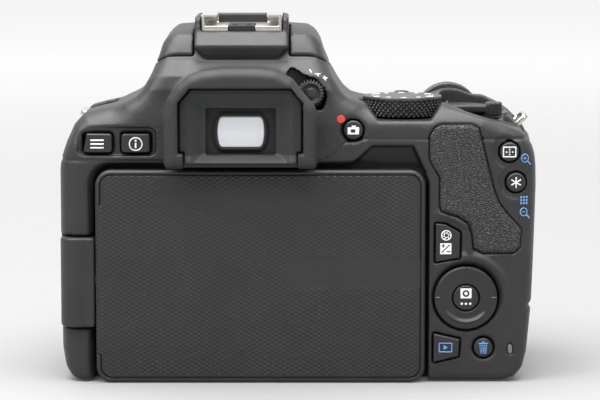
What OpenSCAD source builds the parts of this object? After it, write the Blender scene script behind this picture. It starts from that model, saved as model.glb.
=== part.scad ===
// Digital single-lens reflex camera body, seen with +Y towards the lens, +X towards the hand grip and +Z up.
// The origin is the mouth of the tripod socket, on the optical axis, in the plane that the camera stands on.

/* [Body] */
// Overall width
body_w = 122.4; // [121:0.2:124]
// Distance from the optical axis to the left side
axis_to_left = 46; // [45.5:0.1:46.5]
// Overall height, to the top of the flash cover
body_h = 92.6; // [92.4:0.1:93]
// Rear face of the folded screen
rear_y = -24; // [-24.2:0.1:-23.9]
// Front face of the lens flange
flange_y = 37.4; // [37:0.1:38]
// Rear edge of the eyecup
eye_y = -32.4; // [-33:0.1:-31]
// Wall of the moulded covers
wall = 2; // [1.6:0.1:2.2]
// Running gap between a moving piece and its neighbours
gap = 0.35; // [0.3:0.05:0.4]

/* [Lens mount] */
// Height of the optical axis above the base
lens_z = 38; // [37.5:0.1:38.5]
// Radius of the lens throat
throat_r = 27; // [26.8:0.1:27.2]
// Outer radius of the metal mount ring
mount_r = 32.4; // [32:0.1:32.6]
// Distance from the flange to the image sensor
flange_to_sensor = 44; // [43.8:0.1:44.2]

/* [Controls] */
// Radius of the mode dial
mode_r = 10.3; // [9.5:0.1:10.6]
// Radius of the four-way pad
pad_r = 8.1; // [7.8:0.1:8.3]
// Radius of the round rear buttons
button_r = 2.5; // [2.2:0.1:2.6]
// Travel of a rear button
button_travel = 0.5; // [0.3:0.1:0.6]

/* [Screen] */
// Width of the folding screen
screen_w = 83.2; // [82.8:0.1:83.4]
// Height of the folding screen
screen_h = 53.4; // [52.8:0.1:53.6]
// Thickness of the folding screen
screen_t = 6; // [5.6:0.1:6]

/* [Hidden] */
$fn = 64;
far = 200;

x_left = -axis_to_left;
x_right = body_w - axis_to_left;
wall_y = rear_y + 1.4;
front_y = 18;
split_y = -4;
sensor_y = flange_y - flange_to_sensor;
inner_y = wall_y + wall;

// Colours of the real finishes
shell_black = [0.10, 0.10, 0.11];
rubber_black = [0.07, 0.07, 0.075];
key_black = [0.09, 0.09, 0.095];
steel = [0.72, 0.70, 0.66];

// Main block seen from behind, as a convex outline in X and Z
outline = [
    [x_left, 20], [x_left, 46], [x_left + 1, 56], [x_left + 6, 67], [-25, 71.5], [56, 71.5],
    [66, 68], [x_right - 4.4, 63.5], [x_right, 57], [x_right, 36], [x_right - 3, 9],
    [x_right - 10.4, 0], [x_left + 8, 0], [x_left + 1, 7]
];

// Heights of the sockets on the left side, and [height, half length] of those on the grip side
jack_sockets = [46, 34];
port_sockets = [[33, 4.6], [23, 3.4]];

// Places of the rear controls, as [x, z]
menu_at = [-36.2, 60.5];
info_at = [-26.5, 60.5];
live_at = [28.2, 64];
af_at = [67.5, 58.5];
ae_at = [69.2, 50.8];
pad_at = [56.8, 21.4];
erase_at = [61.3, 8.6];
lamp_at = [68.3, 8.2];
av_outline = [[49.0, 40.4], [51.5, 40.2], [55.3, 38.1], [55.2, 31.6], [49.0, 30.5]];
playback_outline = [[48.4, 12.8], [55.1, 11.3], [54.8, 7], [48.4, 5.3]];
finger_outline = [[25, 53.5], [46.2, 53.5], [43.4, 59.8], [32.6, 59.8]];
thumb_outline = [
    [50.4, 65.3], [57.9, 65.3], [59.8, 64.3], [61.6, 57], [63.7, 48.8], [65, 45.5], [67, 42.9],
    [70.6, 39], [70.3, 34.3], [68.7, 32.8], [61, 32.8], [58.6, 34], [58.3, 37.1], [57.3, 40.4],
    [54.8, 42], [50.5, 43.4], [50.1, 45], [50.1, 51.9], [48, 55.5], [47.5, 57], [47.5, 62.5],
    [48.7, 64.6]
];

// Top controls
mode_at = [41, -9.5];
mode_z = 66.9;
main_dial_at = [53.6, 9];
main_dial_r = 8.4;
main_dial_z = 65.4;
switch_at = [56.2, -3.2];
switch_z = 67.2;
dioptre_at = [17.5, 73.3];
shutter_at = [61, 26.5, 62.6];
shutter_tilt = -28;

// Screen and its vertical hinge
screen_x = -36.8;
screen_z = 0.6;
screen_front = rear_y + screen_t;
recess_y = screen_front + 0.5;
hinge_at = [-41.6, -20];
hinge_r = 3.9;
hinge_low = 14.2;
hinge_high = 36.8;
hinge_pin_r = 1.2;

// Viewfinder, flash and hot shoe
eye_z = 63.8;
eye_wall_y = -25.4;
flash_axis = [-12.4, 84.2];
flash_knuckle_r = 3.6;
flash_inner_r = 21.85;
flash_floor = 78;
shoe_z = 89.7;
shoe_half = 10.4;
shoe_rear = -13;
shoe_front = 6;
pedestal_half = 11.9;

// Mirror, shutter and sensor
mirror_pivot = [1.6, 51.2];
tripod_r = 3.2;
mirror_len = 30;
mirror_half = 13.6;
box_half = 15.6;
shutter_y = -2.4;
aperture = [24.4, 16.6];
blade_h = 8.6;

// Battery bay
battery_size = [14, 33, 48.2];
battery_at = [53, -3, 4.6];
door_x = [49.5, 70];
door_y = [-6, 30];
door_hinge = [-4.2, 1.9];
door_t = 1.7;

// ---------- helpers ----------

// Turns a drawing in X and Z into a plate from y0 to y1
module plate(y0, y1) {
    translate([0, y1, 0]) rotate([90, 0, 0]) linear_extrude(y1 - y0) children();
}

// A rod along Y
module rod_y(x, z, y0, y1, r) {
    translate([x, y1, z]) rotate([90, 0, 0]) cylinder(r = r, h = y1 - y0);
}

// A rod along X
module rod_x(y, z, x0, x1, r) {
    translate([x0, y, z]) rotate([0, 90, 0]) cylinder(r = r, h = x1 - x0);
}

// A box given by its two corners
module block(low, high) {
    translate(low) cube(high - low);
}

module round_rect(size, r) {
    offset(r = r) square([size[0] - 2 * r, size[1] - 2 * r], center = true);
}

module body_outline(inset) {
    offset(delta = -inset) polygon(outline);
}

// ---------- outer form ----------

module main_form(d) {
    hull() {
        plate(wall_y + d, wall_y + d + 0.4) body_outline(3.2 + d);
        plate(wall_y + d + 1.2, wall_y + d + 1.6) body_outline(1.2 + d);
        plate(wall_y + d + 3.6, front_y - 5 - d) body_outline(d);
        plate(front_y - d - 0.5, front_y - d) body_outline(4 + d);
    }
}

module grip_form(d) {
    hull() {
        for (x = [57.4, x_right - 9.6]) {
            translate([x, 27.2 - (x > 60 ? 3.4 : 0), 4 + d]) cylinder(r = 9.2 - d, h = 54 - 2 * d, $fn = 32);
            translate([x, 26.2 - (x > 60 ? 3.4 : 0), d]) cylinder(r = 6.5 - d, h = 61.5 - 2 * d, $fn = 32);
        }
        block([48 + d, 0, 1 + d], [x_right - 1.2 - d, 14, 63 - d]);
        block([50 + d, 0, 60], [68 - d, 16, 70.4 - d]);
    }
}

module hump_slice(z, half, y0, y1, r) {
    translate([0, (y0 + y1) / 2, z]) linear_extrude(0.1) round_rect([2 * half, y1 - y0], r, $fn = 32);
}

module hump_form(d) {
    hull() {
        hump_slice(60, 31 - d, wall_y + 1 + d, 31 - d, 6);
        hump_slice(72, 26 - d, wall_y + 1.4 + d, 33.5 - d, 6);
        hump_slice(79, 23 - d, -18.5 + d, 33.5 - d, 6);
        hump_slice(84.6 - d, 20.3 - d, -15.6 + d, 31 - d, 5);
        hump_slice(89.2 - d, 15.8 - d, -11.5 + d, 25 - d, 5);
        hump_slice(body_h - 0.1 - d, 9 - d, 8 + d, 18 - d, 3);
    }
}

module boss_form(d) {
    translate([0, 12, lens_z]) rotate([-90, 0, 0]) cylinder(r1 = 36.6 - d, r2 = 34 - d, h = flange_y - 14.4);
}

module outer_form(d) {
    main_form(d);
    grip_form(d);
    hump_form(d);
}

// Everything above the parting line of the top cover
module top_region(d = 0) {
    difference() {
        plate(-far, far) polygon([
            [-far, 56.5 + d], [20, 56.5 + d], [27.5, 61.8 + d], [far, 61.8 + d], [far, far], [-far, far]
        ]);
        rod_y(0, lens_z, 12, far, 36.8);
    }
}

// The pit that the mode dial turns in, open to the rear
module mode_pit() {
    translate([mode_at[0], mode_at[1], mode_z - 0.5]) cylinder(r = mode_r + 0.9, h = 20);
    block([mode_at[0] - mode_r + 1.6, wall_y - 4, mode_z - 0.5], [mode_at[0] + mode_r - 1.6, mode_at[1], far]);
}

module main_dial_slot() {
    rod_y(main_dial_at[0], main_dial_z, main_dial_at[1] - 3.2, main_dial_at[1] + 3.2, main_dial_r + 0.7);
}

module switch_pit() {
    translate([switch_at[0], switch_at[1], switch_z - gap]) cylinder(r = 6.2, h = 10);
    translate([switch_at[0], switch_at[1], switch_z - gap])
        linear_extrude(10) polygon([[-1.6, 6], [4, 6], [16, -2], [16, -22], [-1.6, -22]]);
    // groove that the grip of the lever sweeps
    translate([switch_at[0], switch_at[1], switch_z - 1.4]) difference() {
        cylinder(r = 12.2, h = 10);
        translate([0, 0, -1]) cylinder(r = 6.6, h = 20);
        block([-far, -far, -2], [0.4, far, 20]);
        block([-far, 0.6, -2], [far, far, 20]);
    }
    translate([switch_at[0], switch_at[1], 60]) cylinder(r = 1.55, h = 20);
}

// The space that the flash cover leaves and folds into
module flash_space(c) {
    intersection() {
        union() {
            translate([-30, 0, 0]) rotate([90, 0, 90]) linear_extrude(60) polygon([
                [flash_axis[0] - c, 80.6 - c], [8, flash_floor - c], [far, flash_floor - c],
                [far, far], [flash_axis[0] - c, far]
            ]);
            rod_x(flash_axis[0], flash_axis[1], -30, 30, flash_knuckle_r + c);
        }
        union() {
            block([pedestal_half - c + gap, -far, 0], [24, far, far]);
            block([-24, -far, 0], [-pedestal_half + c - gap, far, far]);
            difference() {
                block([-24, flash_axis[0] + 8, 0], [24, far, far]);
                rod_x(flash_axis[0], flash_axis[1], -far, far, flash_inner_r - c);
            }
        }
    }
}

// ---------- covers ----------

module pedestal() {
    translate([-pedestal_half, 0, 0]) rotate([90, 0, 90]) linear_extrude(2 * pedestal_half) polygon([
        [shoe_rear - 5, shoe_z - 7.6], [shoe_rear - 1.2, shoe_z - 1.4], [shoe_rear - 1.2, shoe_z + 2.5],
        [shoe_front + 1.4, shoe_z + 2.5], [shoe_front + 1.4, shoe_z - 8], [shoe_rear, shoe_z - 8]
    ]);
}

module shoe_seat() {
    block([-shoe_half - 0.1, shoe_rear - 1, shoe_z - 1.4], [shoe_half + 0.1, shoe_front + 0.1, far]);
    block([-shoe_half - 0.1, shoe_rear - 6, shoe_z + 0.1], [shoe_half + 0.1, shoe_front, far]);
}

module eyepiece_tube(r_out, grow) {
    plate(eye_wall_y, -14) translate([0, eye_z]) round_rect([25 + grow, 20 + grow], r_out, $fn = 32);
}

module lug_pockets(c) {
    translate([-35.4, 2, 66.4]) rotate([0, -17, 0]) block([-7 - c, -5.5, -9], [3 + c, 5.5, 4]);
    translate([70.6, 2, 62.8]) rotate([0, 47, 0]) block([-2.2 - c, -5.5, -3.4], [2.2 + c, 5.5, 5]);
}

module rear_key_holes() {
    for (at = [live_at, af_at, ae_at, erase_at]) {
        rod_y(at[0], at[1], -far, -10, button_r + gap);
        rod_y(at[0], at[1], inner_y - 0.2, -10, button_r + 1.1);
    }
    rod_y(pad_at[0], pad_at[1], -far, -10, pad_r + gap);
    rod_y(pad_at[0], pad_at[1], inner_y - 0.2, -10, pad_r + 1.2);
    for (drawing = [av_outline, playback_outline]) {
        plate(-far, -10) offset(delta = gap) polygon(drawing);
        plate(inner_y - 0.2, -10) offset(delta = 1.1) polygon(drawing);
    }
    rod_y(lamp_at[0], lamp_at[1], -far, -10, 0.9);
    plate(-far, wall_y + 0.75) polygon(thumb_outline);
}

module top_cover() {
    color(shell_black) difference() {
        union() {
            difference() {
                intersection() {
                    union() {
                        outer_form(0);
                        pedestal();
                    }
                    top_region();
                }
                difference() {
                    outer_form(wall);
                    block([-30, flash_axis[0] - 5, flash_floor - 1.6], [30, far, far]);
                    eyepiece_tube(4, 0);
                    translate([mode_at[0], mode_at[1], mode_z - 2.5]) cylinder(r = mode_r + 3, h = 20);
                    block([switch_at[0] - 9, switch_at[1] - 20, switch_z - 3.2], [switch_at[0] + 18, switch_at[1] + 8, far]);
                    block([main_dial_at[0] - 11, main_dial_at[1] - 5, 64], [main_dial_at[0] + 11, main_dial_at[1] + 5, far]);
                }
            }
        }
        // light path of the viewfinder
        plate(-far, -12) translate([0, eye_z]) round_rect([21, 16], 3, $fn = 32);
        mode_pit();
        translate([mode_at[0], mode_at[1], 60]) cylinder(r = 2.05, h = 20);
        main_dial_slot();
        switch_pit();
        flash_space(gap);
        shoe_seat();
        lug_pockets(gap);
        for (at = [menu_at, info_at]) {
            plate(-far, -10) translate(at) square([7.6 + 2 * gap, 4.9 + 2 * gap], center = true);
            plate(inner_y - 0.2, -10) translate(at) square([9.8, 7.1], center = true);
        }
        rod_y(dioptre_at[0], dioptre_at[1], -far, -15.6, 3.5 + gap);
        rod_y(dioptre_at[0], dioptre_at[1], -17, -12, 1.55);
        top_key_space(gap);
        rear_key_holes();
        translate(shutter_at) rotate([shutter_tilt, 0, 0]) translate([0, 0, -12]) cylinder(r = 6, h = 30);
    }
    color(steel) rod_y(main_dial_at[0], main_dial_z, main_dial_at[1] - 4, main_dial_at[1] + 4, 1);
    for (s = [-1, 1]) color(steel)
        rod_x(flash_axis[0], flash_axis[1], s * 12.6 - 1.8, s * 12.6 + 1.8, 0.9);
}

module rear_cover() {
    color(shell_black) difference() {
        union() {
            difference() {
                intersection() {
                    main_form(0);
                    block([-far, -far, -1], [far, split_y, far]);
                }
                difference() {
                    main_form(wall);
                    // floor and walls of the screen recess
                    block([x_left, recess_y - 1, -1], [screen_x + screen_w + 2.2, recess_y + 1.8, 58]);
                    block([screen_x + screen_w, -far, 0], [screen_x + screen_w + 2.2, recess_y + 1.8, 58]);
                    block([x_left, -far, screen_h + 1], [48, recess_y + 1.8, 57]);
                    block([x_left, -far, hinge_low - 3.4], [-35.4, -13.4, hinge_high + 3.4]);
                    // walls of the finger recess and of the socket bay
                    block([24, -far, 52], [48, recess_y + 1.8, 61.8]);
                    block([69.4, -16, 14], [far, split_y, 41]);
                }
            }
        }
        top_region(-0.05);
        plate(-far, recess_y) translate([screen_x - 0.5, -5]) square([screen_w + 1, screen_h + 6.1]);
        block([-far, -far, hinge_low - gap], [-36, hinge_at[1] + 4.5, hinge_high + gap]);
        translate([hinge_at[0], hinge_at[1], hinge_low - 3]) cylinder(r = hinge_pin_r + 0.05, h = hinge_high - hinge_low + 6);
        plate(-far, recess_y) polygon(finger_outline);
        rear_key_holes();
        for (z = port_sockets) block([67, -11.1, z[0] - z[1] - 0.5], [71.5, -7.1, z[0] + z[1] + 0.5]);
        base_footprint(0.1);
        lug_pockets(gap);
        // rounded edge of the post, which the side of the screen turns past
        difference() {
            block([hinge_at[0], -far, -1], [screen_x, hinge_at[1], screen_h + 1.1]);
            translate([hinge_at[0], hinge_at[1], -2]) cylinder(r = 4.65, h = far);
        }
        door_space();
        port_pocket(1, 0);
        port_pocket(-1, 0);
        main_form_bottom_trim();
    }
}

// Keeps the bottom of the covers off the plane that the base plate stands on
module main_form_bottom_trim() {
    block([-far, -far, -5], [far, far, 0.35]);
}

module front_cover() {
    color(shell_black) difference() {
        union() {
            difference() {
                intersection() {
                    union() {
                        main_form(0);
                        grip_form(0);
                        boss_form(0);
                    }
                    block([-far, split_y, -1], [far, far, far]);
                }
                difference() {
                    union() {
                        main_form(wall);
                        grip_form(wall);
                    }
                    block([x_left, split_y, 23.8], [-40.6, 14, 55.2]);
                    // root of the boss, between the main wall and the seat of the mount
                    rod_y(0, lens_z, 12, 16, 36);
                }
            }
        }
        difference() {
            top_region(-0.05);
            rod_y(0, lens_z, 12.1, far, 36.7);
        }
        rod_y(0, lens_z, -1, far, 32.8);
        difference() {
            grip_skin(0.9);
            block([-far, -far, -far], [far, 12.5, far]);
        }
        rod_y(lens_release_at[0], lens_release_at[1], 10, far, 4.7);
        rod_y(lens_release_at[0], lens_release_at[1], 10, 13.7, 5.8);
        base_footprint(0.1);
        door_space();
        port_pocket(1, 0);
        port_pocket(-1, 0);
        rod_y(50.5, 54, 10, far, 1.7);
        translate(shutter_at) rotate([shutter_tilt, 0, 0]) translate([0, 0, -12]) cylinder(r = 6, h = 30);
        main_dial_slot();
        lug_pockets(gap);
        for (at = case_screw_at) translate([at[0], at[1], -1]) cylinder(r = 1.6, h = 6);
        main_form_bottom_trim();
        rod_y(0, lens_z, 30, far, mount_r + 0.3);
        for (z = jack_sockets) rod_x(3.5, z, -43, -30, 3.25);
    }
}

module base_footprint(c) {
    linear_extrude(2 + c) offset(delta = c) polygon([
        [-37, -16.6], [46.5, -16.6], [46.5, 13.5], [20, 15], [-20, 15], [-37, 11]
    ]);
    block([46.4, -16.6 - c, 0], [48.3 + c, 10, 2 + c]);
}

module base_plate() {
    color(shell_black) difference() {
        base_footprint(0);
        translate([0, 0, -1]) cylinder(r = 5.2, h = 6);
        for (at = case_screw_at) translate([at[0], at[1], -1]) cylinder(r = 1.6, h = 6);
    }
}

// The skin of rubber over the front of the grip, as a shell of thickness t under the outer form
module grip_skin(t) {
    difference() {
        intersection() {
            grip_form(0);
            block([47.2, 12.6, 6], [far, far, 59]);
        }
        grip_form(t);
        hull() {
            rod_y(50.5, 54, 10, far, 3);
            rod_y(44, 62, 10, far, 3);
        }
    }
}

module grip_rubber() {
    color(rubber_black) difference() {
        grip_skin(0.8);
        boss_form(-1.2);
        port_pocket(1, 0.8);
    }
}

module thumb_rubber() {
    color(rubber_black) plate(wall_y - 0.3, wall_y + 0.7) offset(delta = -0.1) polygon(thumb_outline);
}

// ---------- lens mount and its controls ----------

module lens_mount() {
    color(steel) difference() {
        rod_y(0, lens_z, flange_y - 3.8, flange_y, mount_r);
        rod_y(0, lens_z, flange_y - 2.2, flange_y + 1, throat_r);
        rod_y(0, lens_z, flange_y - 5, flange_y - 2.1, throat_r + 1.4);
        for (a = mount_screw_angles) translate([0, 0, lens_z]) rotate([0, a, 0])
            rod_y(30, 0, flange_y - 5, flange_y + 1, 0.95);
        // lock pin hole, on the grip side
        translate([0, 0, lens_z]) rotate([0, lock_angle, 0]) rod_y(29.9, 0, flange_y - 5, flange_y + 1, 1.25);
    }
    color(steel) for (a = [20, 140, 260]) translate([0, 0, lens_z]) rotate([0, a, 0]) bayonet_claw();
}

module bayonet_claw() {
    translate([0, flange_y - 2.2, 0]) rotate([90, 0, 0])
        rotate_extrude(angle = 58) translate([throat_r - 1.5, 0]) square([3.2, 1.3]);
}

lock_angle = 172;
lock_proud = 1.5;
mount_screw_angles = [35, 107, 180, 252, 325];

module mount_screws() {
    color(steel) for (a = mount_screw_angles) translate([0, 0, lens_z]) rotate([0, a, 0])
        difference() {
            rod_y(30, 0, flange_y - 3.6, flange_y - 0.15, 0.9);
            translate([30, flange_y - 0.3, 0]) block([-0.6, -0.2, -0.12], [0.6, 0.4, 0.12]);
        }
}

module contact_block() {
    color([0.08, 0.08, 0.08]) intersection() {
        translate([0, 32.9, lens_z]) rotate([90, 0, 0]) rotate_extrude(angle = 360)
            translate([22.2, 0]) square([4.2, 2.2]);
        block([-12, 0, 0], [12, 60, 20]);
    }
    color([0.85, 0.68, 0.3]) for (i = [0:7]) translate([0, 0, lens_z]) rotate([0, 66.5 + 6.7 * i, 0])
        rod_y(24.3, 0, 32.9, 33.7, 0.7);
}

module mirror_box() {
    color([0.06, 0.06, 0.06]) difference() {
        union() {
            block([-box_half - 1.8, -0.6, 20.8], [box_half + 1.8, 30, mirror_pivot[1] + 1.6]);
            rod_y(0, lens_z, 28, 33.4, 31);
        }
        block([-box_half, -2, 22.6], [box_half, 60, 52.4]);
        block([-box_half, -2, 50], [box_half, 31, 54]);
        rod_y(0, lens_z, 30.6, 60, throat_r);
        translate([0, 0, lens_z]) rotate([0, lock_angle, 0]) rod_y(29.9, 0, 20, 60, 1.25);
    }
    for (s = [-1, 1]) color(steel) rod_x(mirror_pivot[0], mirror_pivot[1], s > 0 ? mirror_half + 0.6 : -box_half, s > 0 ? box_half : -mirror_half - 0.6, 0.9);
}

lens_release_at = [-37.4, 30];

module lens_release_button() {
    color(key_black) union() {
        rod_y(lens_release_at[0], lens_release_at[1], 13.4, 21.2, 4.3);
        rod_y(lens_release_at[0], lens_release_at[1], 12.6, 13.4, 5.4);
    }
}

module lens_lock_pin() {
    color(steel) translate([0, 0, lens_z]) rotate([0, lock_angle, 0]) union() {
        rod_y(29.9, 0, 25, flange_y + lock_proud - 0.3, 1.2);
        rod_y(29.9, 0, flange_y, flange_y + lock_proud, 0.9);
        rod_y(29.9, 0, 22, 27.5, 2);
    }
}

// ---------- mirror and viewfinder ----------

module main_mirror() {
    translate([0, mirror_pivot[0], mirror_pivot[1]]) rotate([-45, 0, 0]) {
        color([0.75, 0.78, 0.8]) difference() {
            block([-mirror_half, 0.9, 0.1], [mirror_half, mirror_len, 1.1]);
            rod_x(0, 0, -far, far, 1.2);
        }
        color([0.1, 0.1, 0.1]) difference() {
            union() {
                block([-mirror_half, 0.9, -0.7], [mirror_half, mirror_len - 0.4, 0.1]);
                for (s = [-1, 1]) rod_x(0, 0, s * (mirror_half - 0.8) - 0.8, s * (mirror_half - 0.8) + 0.8, 1.9);
            }
            rod_x(0, 0, -far, far, 1);
            block([-8, 8, -2], [8, 24, 0]);
        }
    }
}

// The small mirror behind the main one, folded down at rest and flat against it when that is up
module sub_mirror() {
    translate([0, mirror_pivot[0], mirror_pivot[1]]) rotate([-45, 0, 0]) translate([0, 12.6, -1.9])
        rotate([-92, 0, 0]) color([0.7, 0.73, 0.76]) union() {
            block([-7, 0.6, -0.4], [7, 11, 0.4]);
            rod_x(0, 0, -7, 7, 0.7);
        }
}

module focusing_screen() {
    color([0.85, 0.88, 0.9, 0.6]) block([-box_half + 0.4, 3, 54.2], [box_half - 0.4, 27.8, 55.4]);
    color([0.15, 0.15, 0.15]) difference() {
        block([-box_half - 1.6, 2.6, 53], [box_half + 1.6, 27.8, 54.1]);
        block([-box_half + 1.4, 4, 50], [box_half - 1.4, 26.4, 60]);
    }
}

module prism_outline(d) {
    offset(delta = -d) polygon([[1.4, 55.8], [27.8, 55.8], [27.8, 60.5], [11.6, 74.4], [0, 74.4], [-9, 70], [-10.5, 57.5]]);
}

module pentamirror() {
    color([0.2, 0.2, 0.21]) difference() {
        translate([-19, 0, 0]) rotate([90, 0, 90]) linear_extrude(38) prism_outline(0);
        translate([-17.4, 0, 0]) rotate([90, 0, 90]) linear_extrude(34.8) prism_outline(1.4);
        block([-13, 4, 50], [13, 25, 60]);
        block([-11, -14, eye_z - 5], [11, 0, eye_z + 4.6]);
        // room of the mount boss
        difference() {
            rod_y(0, lens_z, 11.4, far, far);
            rod_y(0, lens_z, 0, far, 32.4);
        }
    }
}

module eyepiece_lens() {
    color([0.8, 0.85, 0.9, 0.4]) plate(-17.2, -14.6) translate([0, eye_z]) round_rect([19.6, 14.4], 3, $fn = 32);
    color([0.8, 0.85, 0.9, 0.4]) plate(-24, -22.2) translate([0, eye_z]) round_rect([19.6, 14.4], 3, $fn = 32);
}

eyecup_outline = [
    [-18.8, 55.4], [-18.6, 67], [-16.4, 73.4], [-11, 78.9], [-6.5, 80], [6.5, 80],
    [11, 78.9], [16.4, 73.4], [18.6, 67], [18.8, 55.4]
];

module eyecup() {
    color(rubber_black) difference() {
        union() {
            hull() {
                plate(eye_y, eye_y + 0.1) offset(delta = -2.4) polygon(eyecup_outline);
                plate(eye_y + 0.7, eye_y + 0.8) offset(delta = -0.9) polygon(eyecup_outline);
                plate(eye_y + 2, eye_wall_y - 0.1) polygon(eyecup_outline);
            }
        }
        // dished face and the window through it
        hull() {
            plate(eye_y - 1, eye_y) translate([0, 65.2]) round_rect([28, 19.5], 4, $fn = 32);
            plate(eye_y + 3.6, eye_y + 3.7) translate([0, eye_z]) round_rect([17.4, 12.2], 0.8, $fn = 32);
        }
        plate(eye_y - 1, eye_wall_y + 1) translate([0, eye_z]) round_rect([17.2, 12], 0.8, $fn = 32);
        rod_y(dioptre_at[0], dioptre_at[1], eye_wall_y - 2.4, 0, 3.5 + gap);
    }
}

// ---------- flash and hot shoe ----------

module flash_head() {
    color(shell_black) difference() {
        intersection() {
            hump_form(0.02);
            flash_space(0);
        }
        difference() {
            intersection() {
                hump_form(1.6);
                block([-19, 10, flash_floor - 1], [19, 29.6, 87]);
            }
            block([-30, 10, flash_floor + 6.6], [30, 12, far]);
        }
        block([-15.2, 12, flash_floor - 1], [15.2, far, flash_floor + 4.2]);
        for (s = [-1, 1]) rod_x(flash_axis[0], flash_axis[1], s * 13.4 - 1.6, s * 13.4 + 1.6, 0.95);
    }
}

module flash_lens() {
    color([0.85, 0.87, 0.9, 0.5]) block([-15, 24.4, flash_floor + 0.4], [15, 26, flash_floor + 4]);
    color([0.8, 0.8, 0.82]) difference() {
        block([-14, 17, flash_floor + 0.5], [14, 24.3, flash_floor + 4]);
        rod_x(24.4, flash_floor + 2.2, -13, 13, 1.6);
    }
}

module hot_shoe() {
    color(steel) difference() {
        block([-shoe_half, shoe_rear, shoe_z - 1.3], [shoe_half, shoe_front, shoe_z + 2.8]);
        block([-9.35, shoe_rear - 1, shoe_z], [9.35, shoe_front - 0.8, shoe_z + 2.1]);
        block([-6.3, shoe_rear - 1, shoe_z], [6.3, shoe_front + 1, shoe_z + 5]);
        block([-3.4, shoe_rear - 1, shoe_z - 3], [3.4, shoe_front - 3, shoe_z + 1]);
    }
}

module shoe_insert() {
    color([0.12, 0.12, 0.12]) difference() {
        block([-3.3, shoe_rear + 0.2, shoe_z - 1.3], [3.3, shoe_front - 3.1, shoe_z - 0.1]);
        for (at = shoe_contacts) translate([at[0], at[1], shoe_z - 0.6]) cylinder(r = 0.75, h = 4);
    }
    color([0.85, 0.68, 0.3]) for (at = shoe_contacts) translate([at[0], at[1], shoe_z - 0.6]) cylinder(r = 0.7, h = 0.6);
}

shoe_contacts = [[-1.8, -3.6], [1.8, -3.6], [-1.8, -8], [1.8, -8]];

// ---------- top controls ----------

module mode_dial() {
    color(key_black) translate([mode_at[0], mode_at[1], mode_z]) union() {
        difference() {
            cylinder(r = mode_r, h = 4.4);
            for (a = [0:10:350]) rotate([0, 0, a]) translate([mode_r + 0.15, 0, -1]) cylinder(r = 0.45, h = 4.8, $fn = 16);
        }
        translate([0, 0, 4.4]) cylinder(r1 = mode_r - 0.1, r2 = mode_r - 1, h = 0.5, $fn = 64);
        translate([0, 0, -4]) cylinder(r = 2, h = 4);
    }
}

module main_dial() {
    color(key_black) translate([main_dial_at[0], main_dial_at[1], main_dial_z]) rotate([90, 0, 0]) difference() {
        cylinder(r = main_dial_r, h = 5.6, center = true);
        for (a = [0:12:348]) rotate([0, 0, a]) translate([main_dial_r + 0.2, 0, 0]) cylinder(r = 0.55, h = 6, center = true, $fn = 16);
        cylinder(r = 1.05, h = 8, center = true);
    }
}

module power_switch() {
    color(key_black) translate([switch_at[0], switch_at[1], 0]) union() {
        translate([0, 0, switch_z]) cylinder(r = 5.6, h = 2);
        translate([0, 0, switch_z]) linear_extrude(2) polygon([[0, 5], [8.2, -1.6], [8.2, -6.2], [0, -5.4]]);
        translate([8.2, -4.6, switch_z - 1]) cylinder(r = 2.3, h = 3.8);
        translate([0, 0, switch_z - 5]) cylinder(r = 1.5, h = 5.5);
    }
}

module shutter_button() {
    color(key_black) translate(shutter_at) rotate([shutter_tilt, 0, 0]) union() {
        translate([0, 0, 1.2]) cylinder(r = 5.2, h = 3.4);
        translate([0, 0, 4.6]) cylinder(r1 = 5.2, r2 = 4.4, h = 0.6);
        translate([0, 0, -4]) cylinder(r = 1.4, h = 5.4);
    }
}

iso_at = [41.6, 5.4];
disp_at = [41.6, 12.2];

module top_key_space(c) {
    for (at = [iso_at, disp_at]) translate([at[0], at[1], 60]) {
        cylinder(r = 2.1 + c, h = 30);
        cylinder(r = 2.9 + c, h = 9.3);
    }
}

module top_key(at) {
    color(key_black) translate([at[0], at[1], 68]) union() {
        cylinder(r = 2.1, h = 4);
        translate([0, 0, 0.2]) cylinder(r = 2.9, h = 0.7);
    }
}

module iso_button() {
    top_key(iso_at);
}

module disp_button() {
    top_key(disp_at);
}

// ---------- rear controls ----------

// A moulded key with a flange behind the wall, cut to the drawing that follows
module rear_key(face) {
    color(key_black) union() {
        plate(face, inner_y + 0.5) children();
        plate(inner_y + 0.4, inner_y + 1.1) offset(delta = 0.7) children();
    }
}

module round_key(at, r, face) {
    color(key_black) union() {
        rod_y(at[0], at[1], face + 0.3, inner_y + 0.5, r);
        rod_y(at[0], at[1], face, face + 0.3, r - 0.3);
        rod_y(at[0], at[1], inner_y + 0.4, inner_y + 1.1, r + 0.7);
    }
}

module menu_button() {
    rear_key(wall_y - 0.5) translate(menu_at) square([7.6, 4.9], center = true);
}

module info_button() {
    rear_key(wall_y - 0.5) translate(info_at) square([7.6, 4.9], center = true);
}

module live_view_button() {
    round_key(live_at, button_r, wall_y - 0.5);
}

module af_point_button() {
    round_key(af_at, button_r, wall_y - 0.4);
}

module ae_lock_button() {
    round_key(ae_at, button_r, wall_y - 0.4);
}

module erase_button() {
    round_key(erase_at, button_r, wall_y - 0.4);
}

module av_button() {
    rear_key(wall_y - 0.6) polygon(av_outline);
}

module playback_button() {
    rear_key(wall_y - 0.6) polygon(playback_outline);
}

module set_button() {
    color(key_black) union() {
        rod_y(pad_at[0], pad_at[1], wall_y - 0.5, inner_y + 2, 3.3);
        rod_y(pad_at[0], pad_at[1], inner_y + 1.9, inner_y + 2.6, 4.2);
    }
}

module cross_keys() {
    color(key_black) difference() {
        union() {
            rod_y(pad_at[0], pad_at[1], wall_y - 0.4, inner_y + 0.5, pad_r);
            rod_y(pad_at[0], pad_at[1], wall_y - 0.9, wall_y - 0.4, pad_r - 0.6);
            rod_y(pad_at[0], pad_at[1], inner_y + 0.4, inner_y + 1.1, pad_r + 0.8);
        }
        rod_y(pad_at[0], pad_at[1], -far, 0, 3.3 + gap);
    }
}

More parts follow.
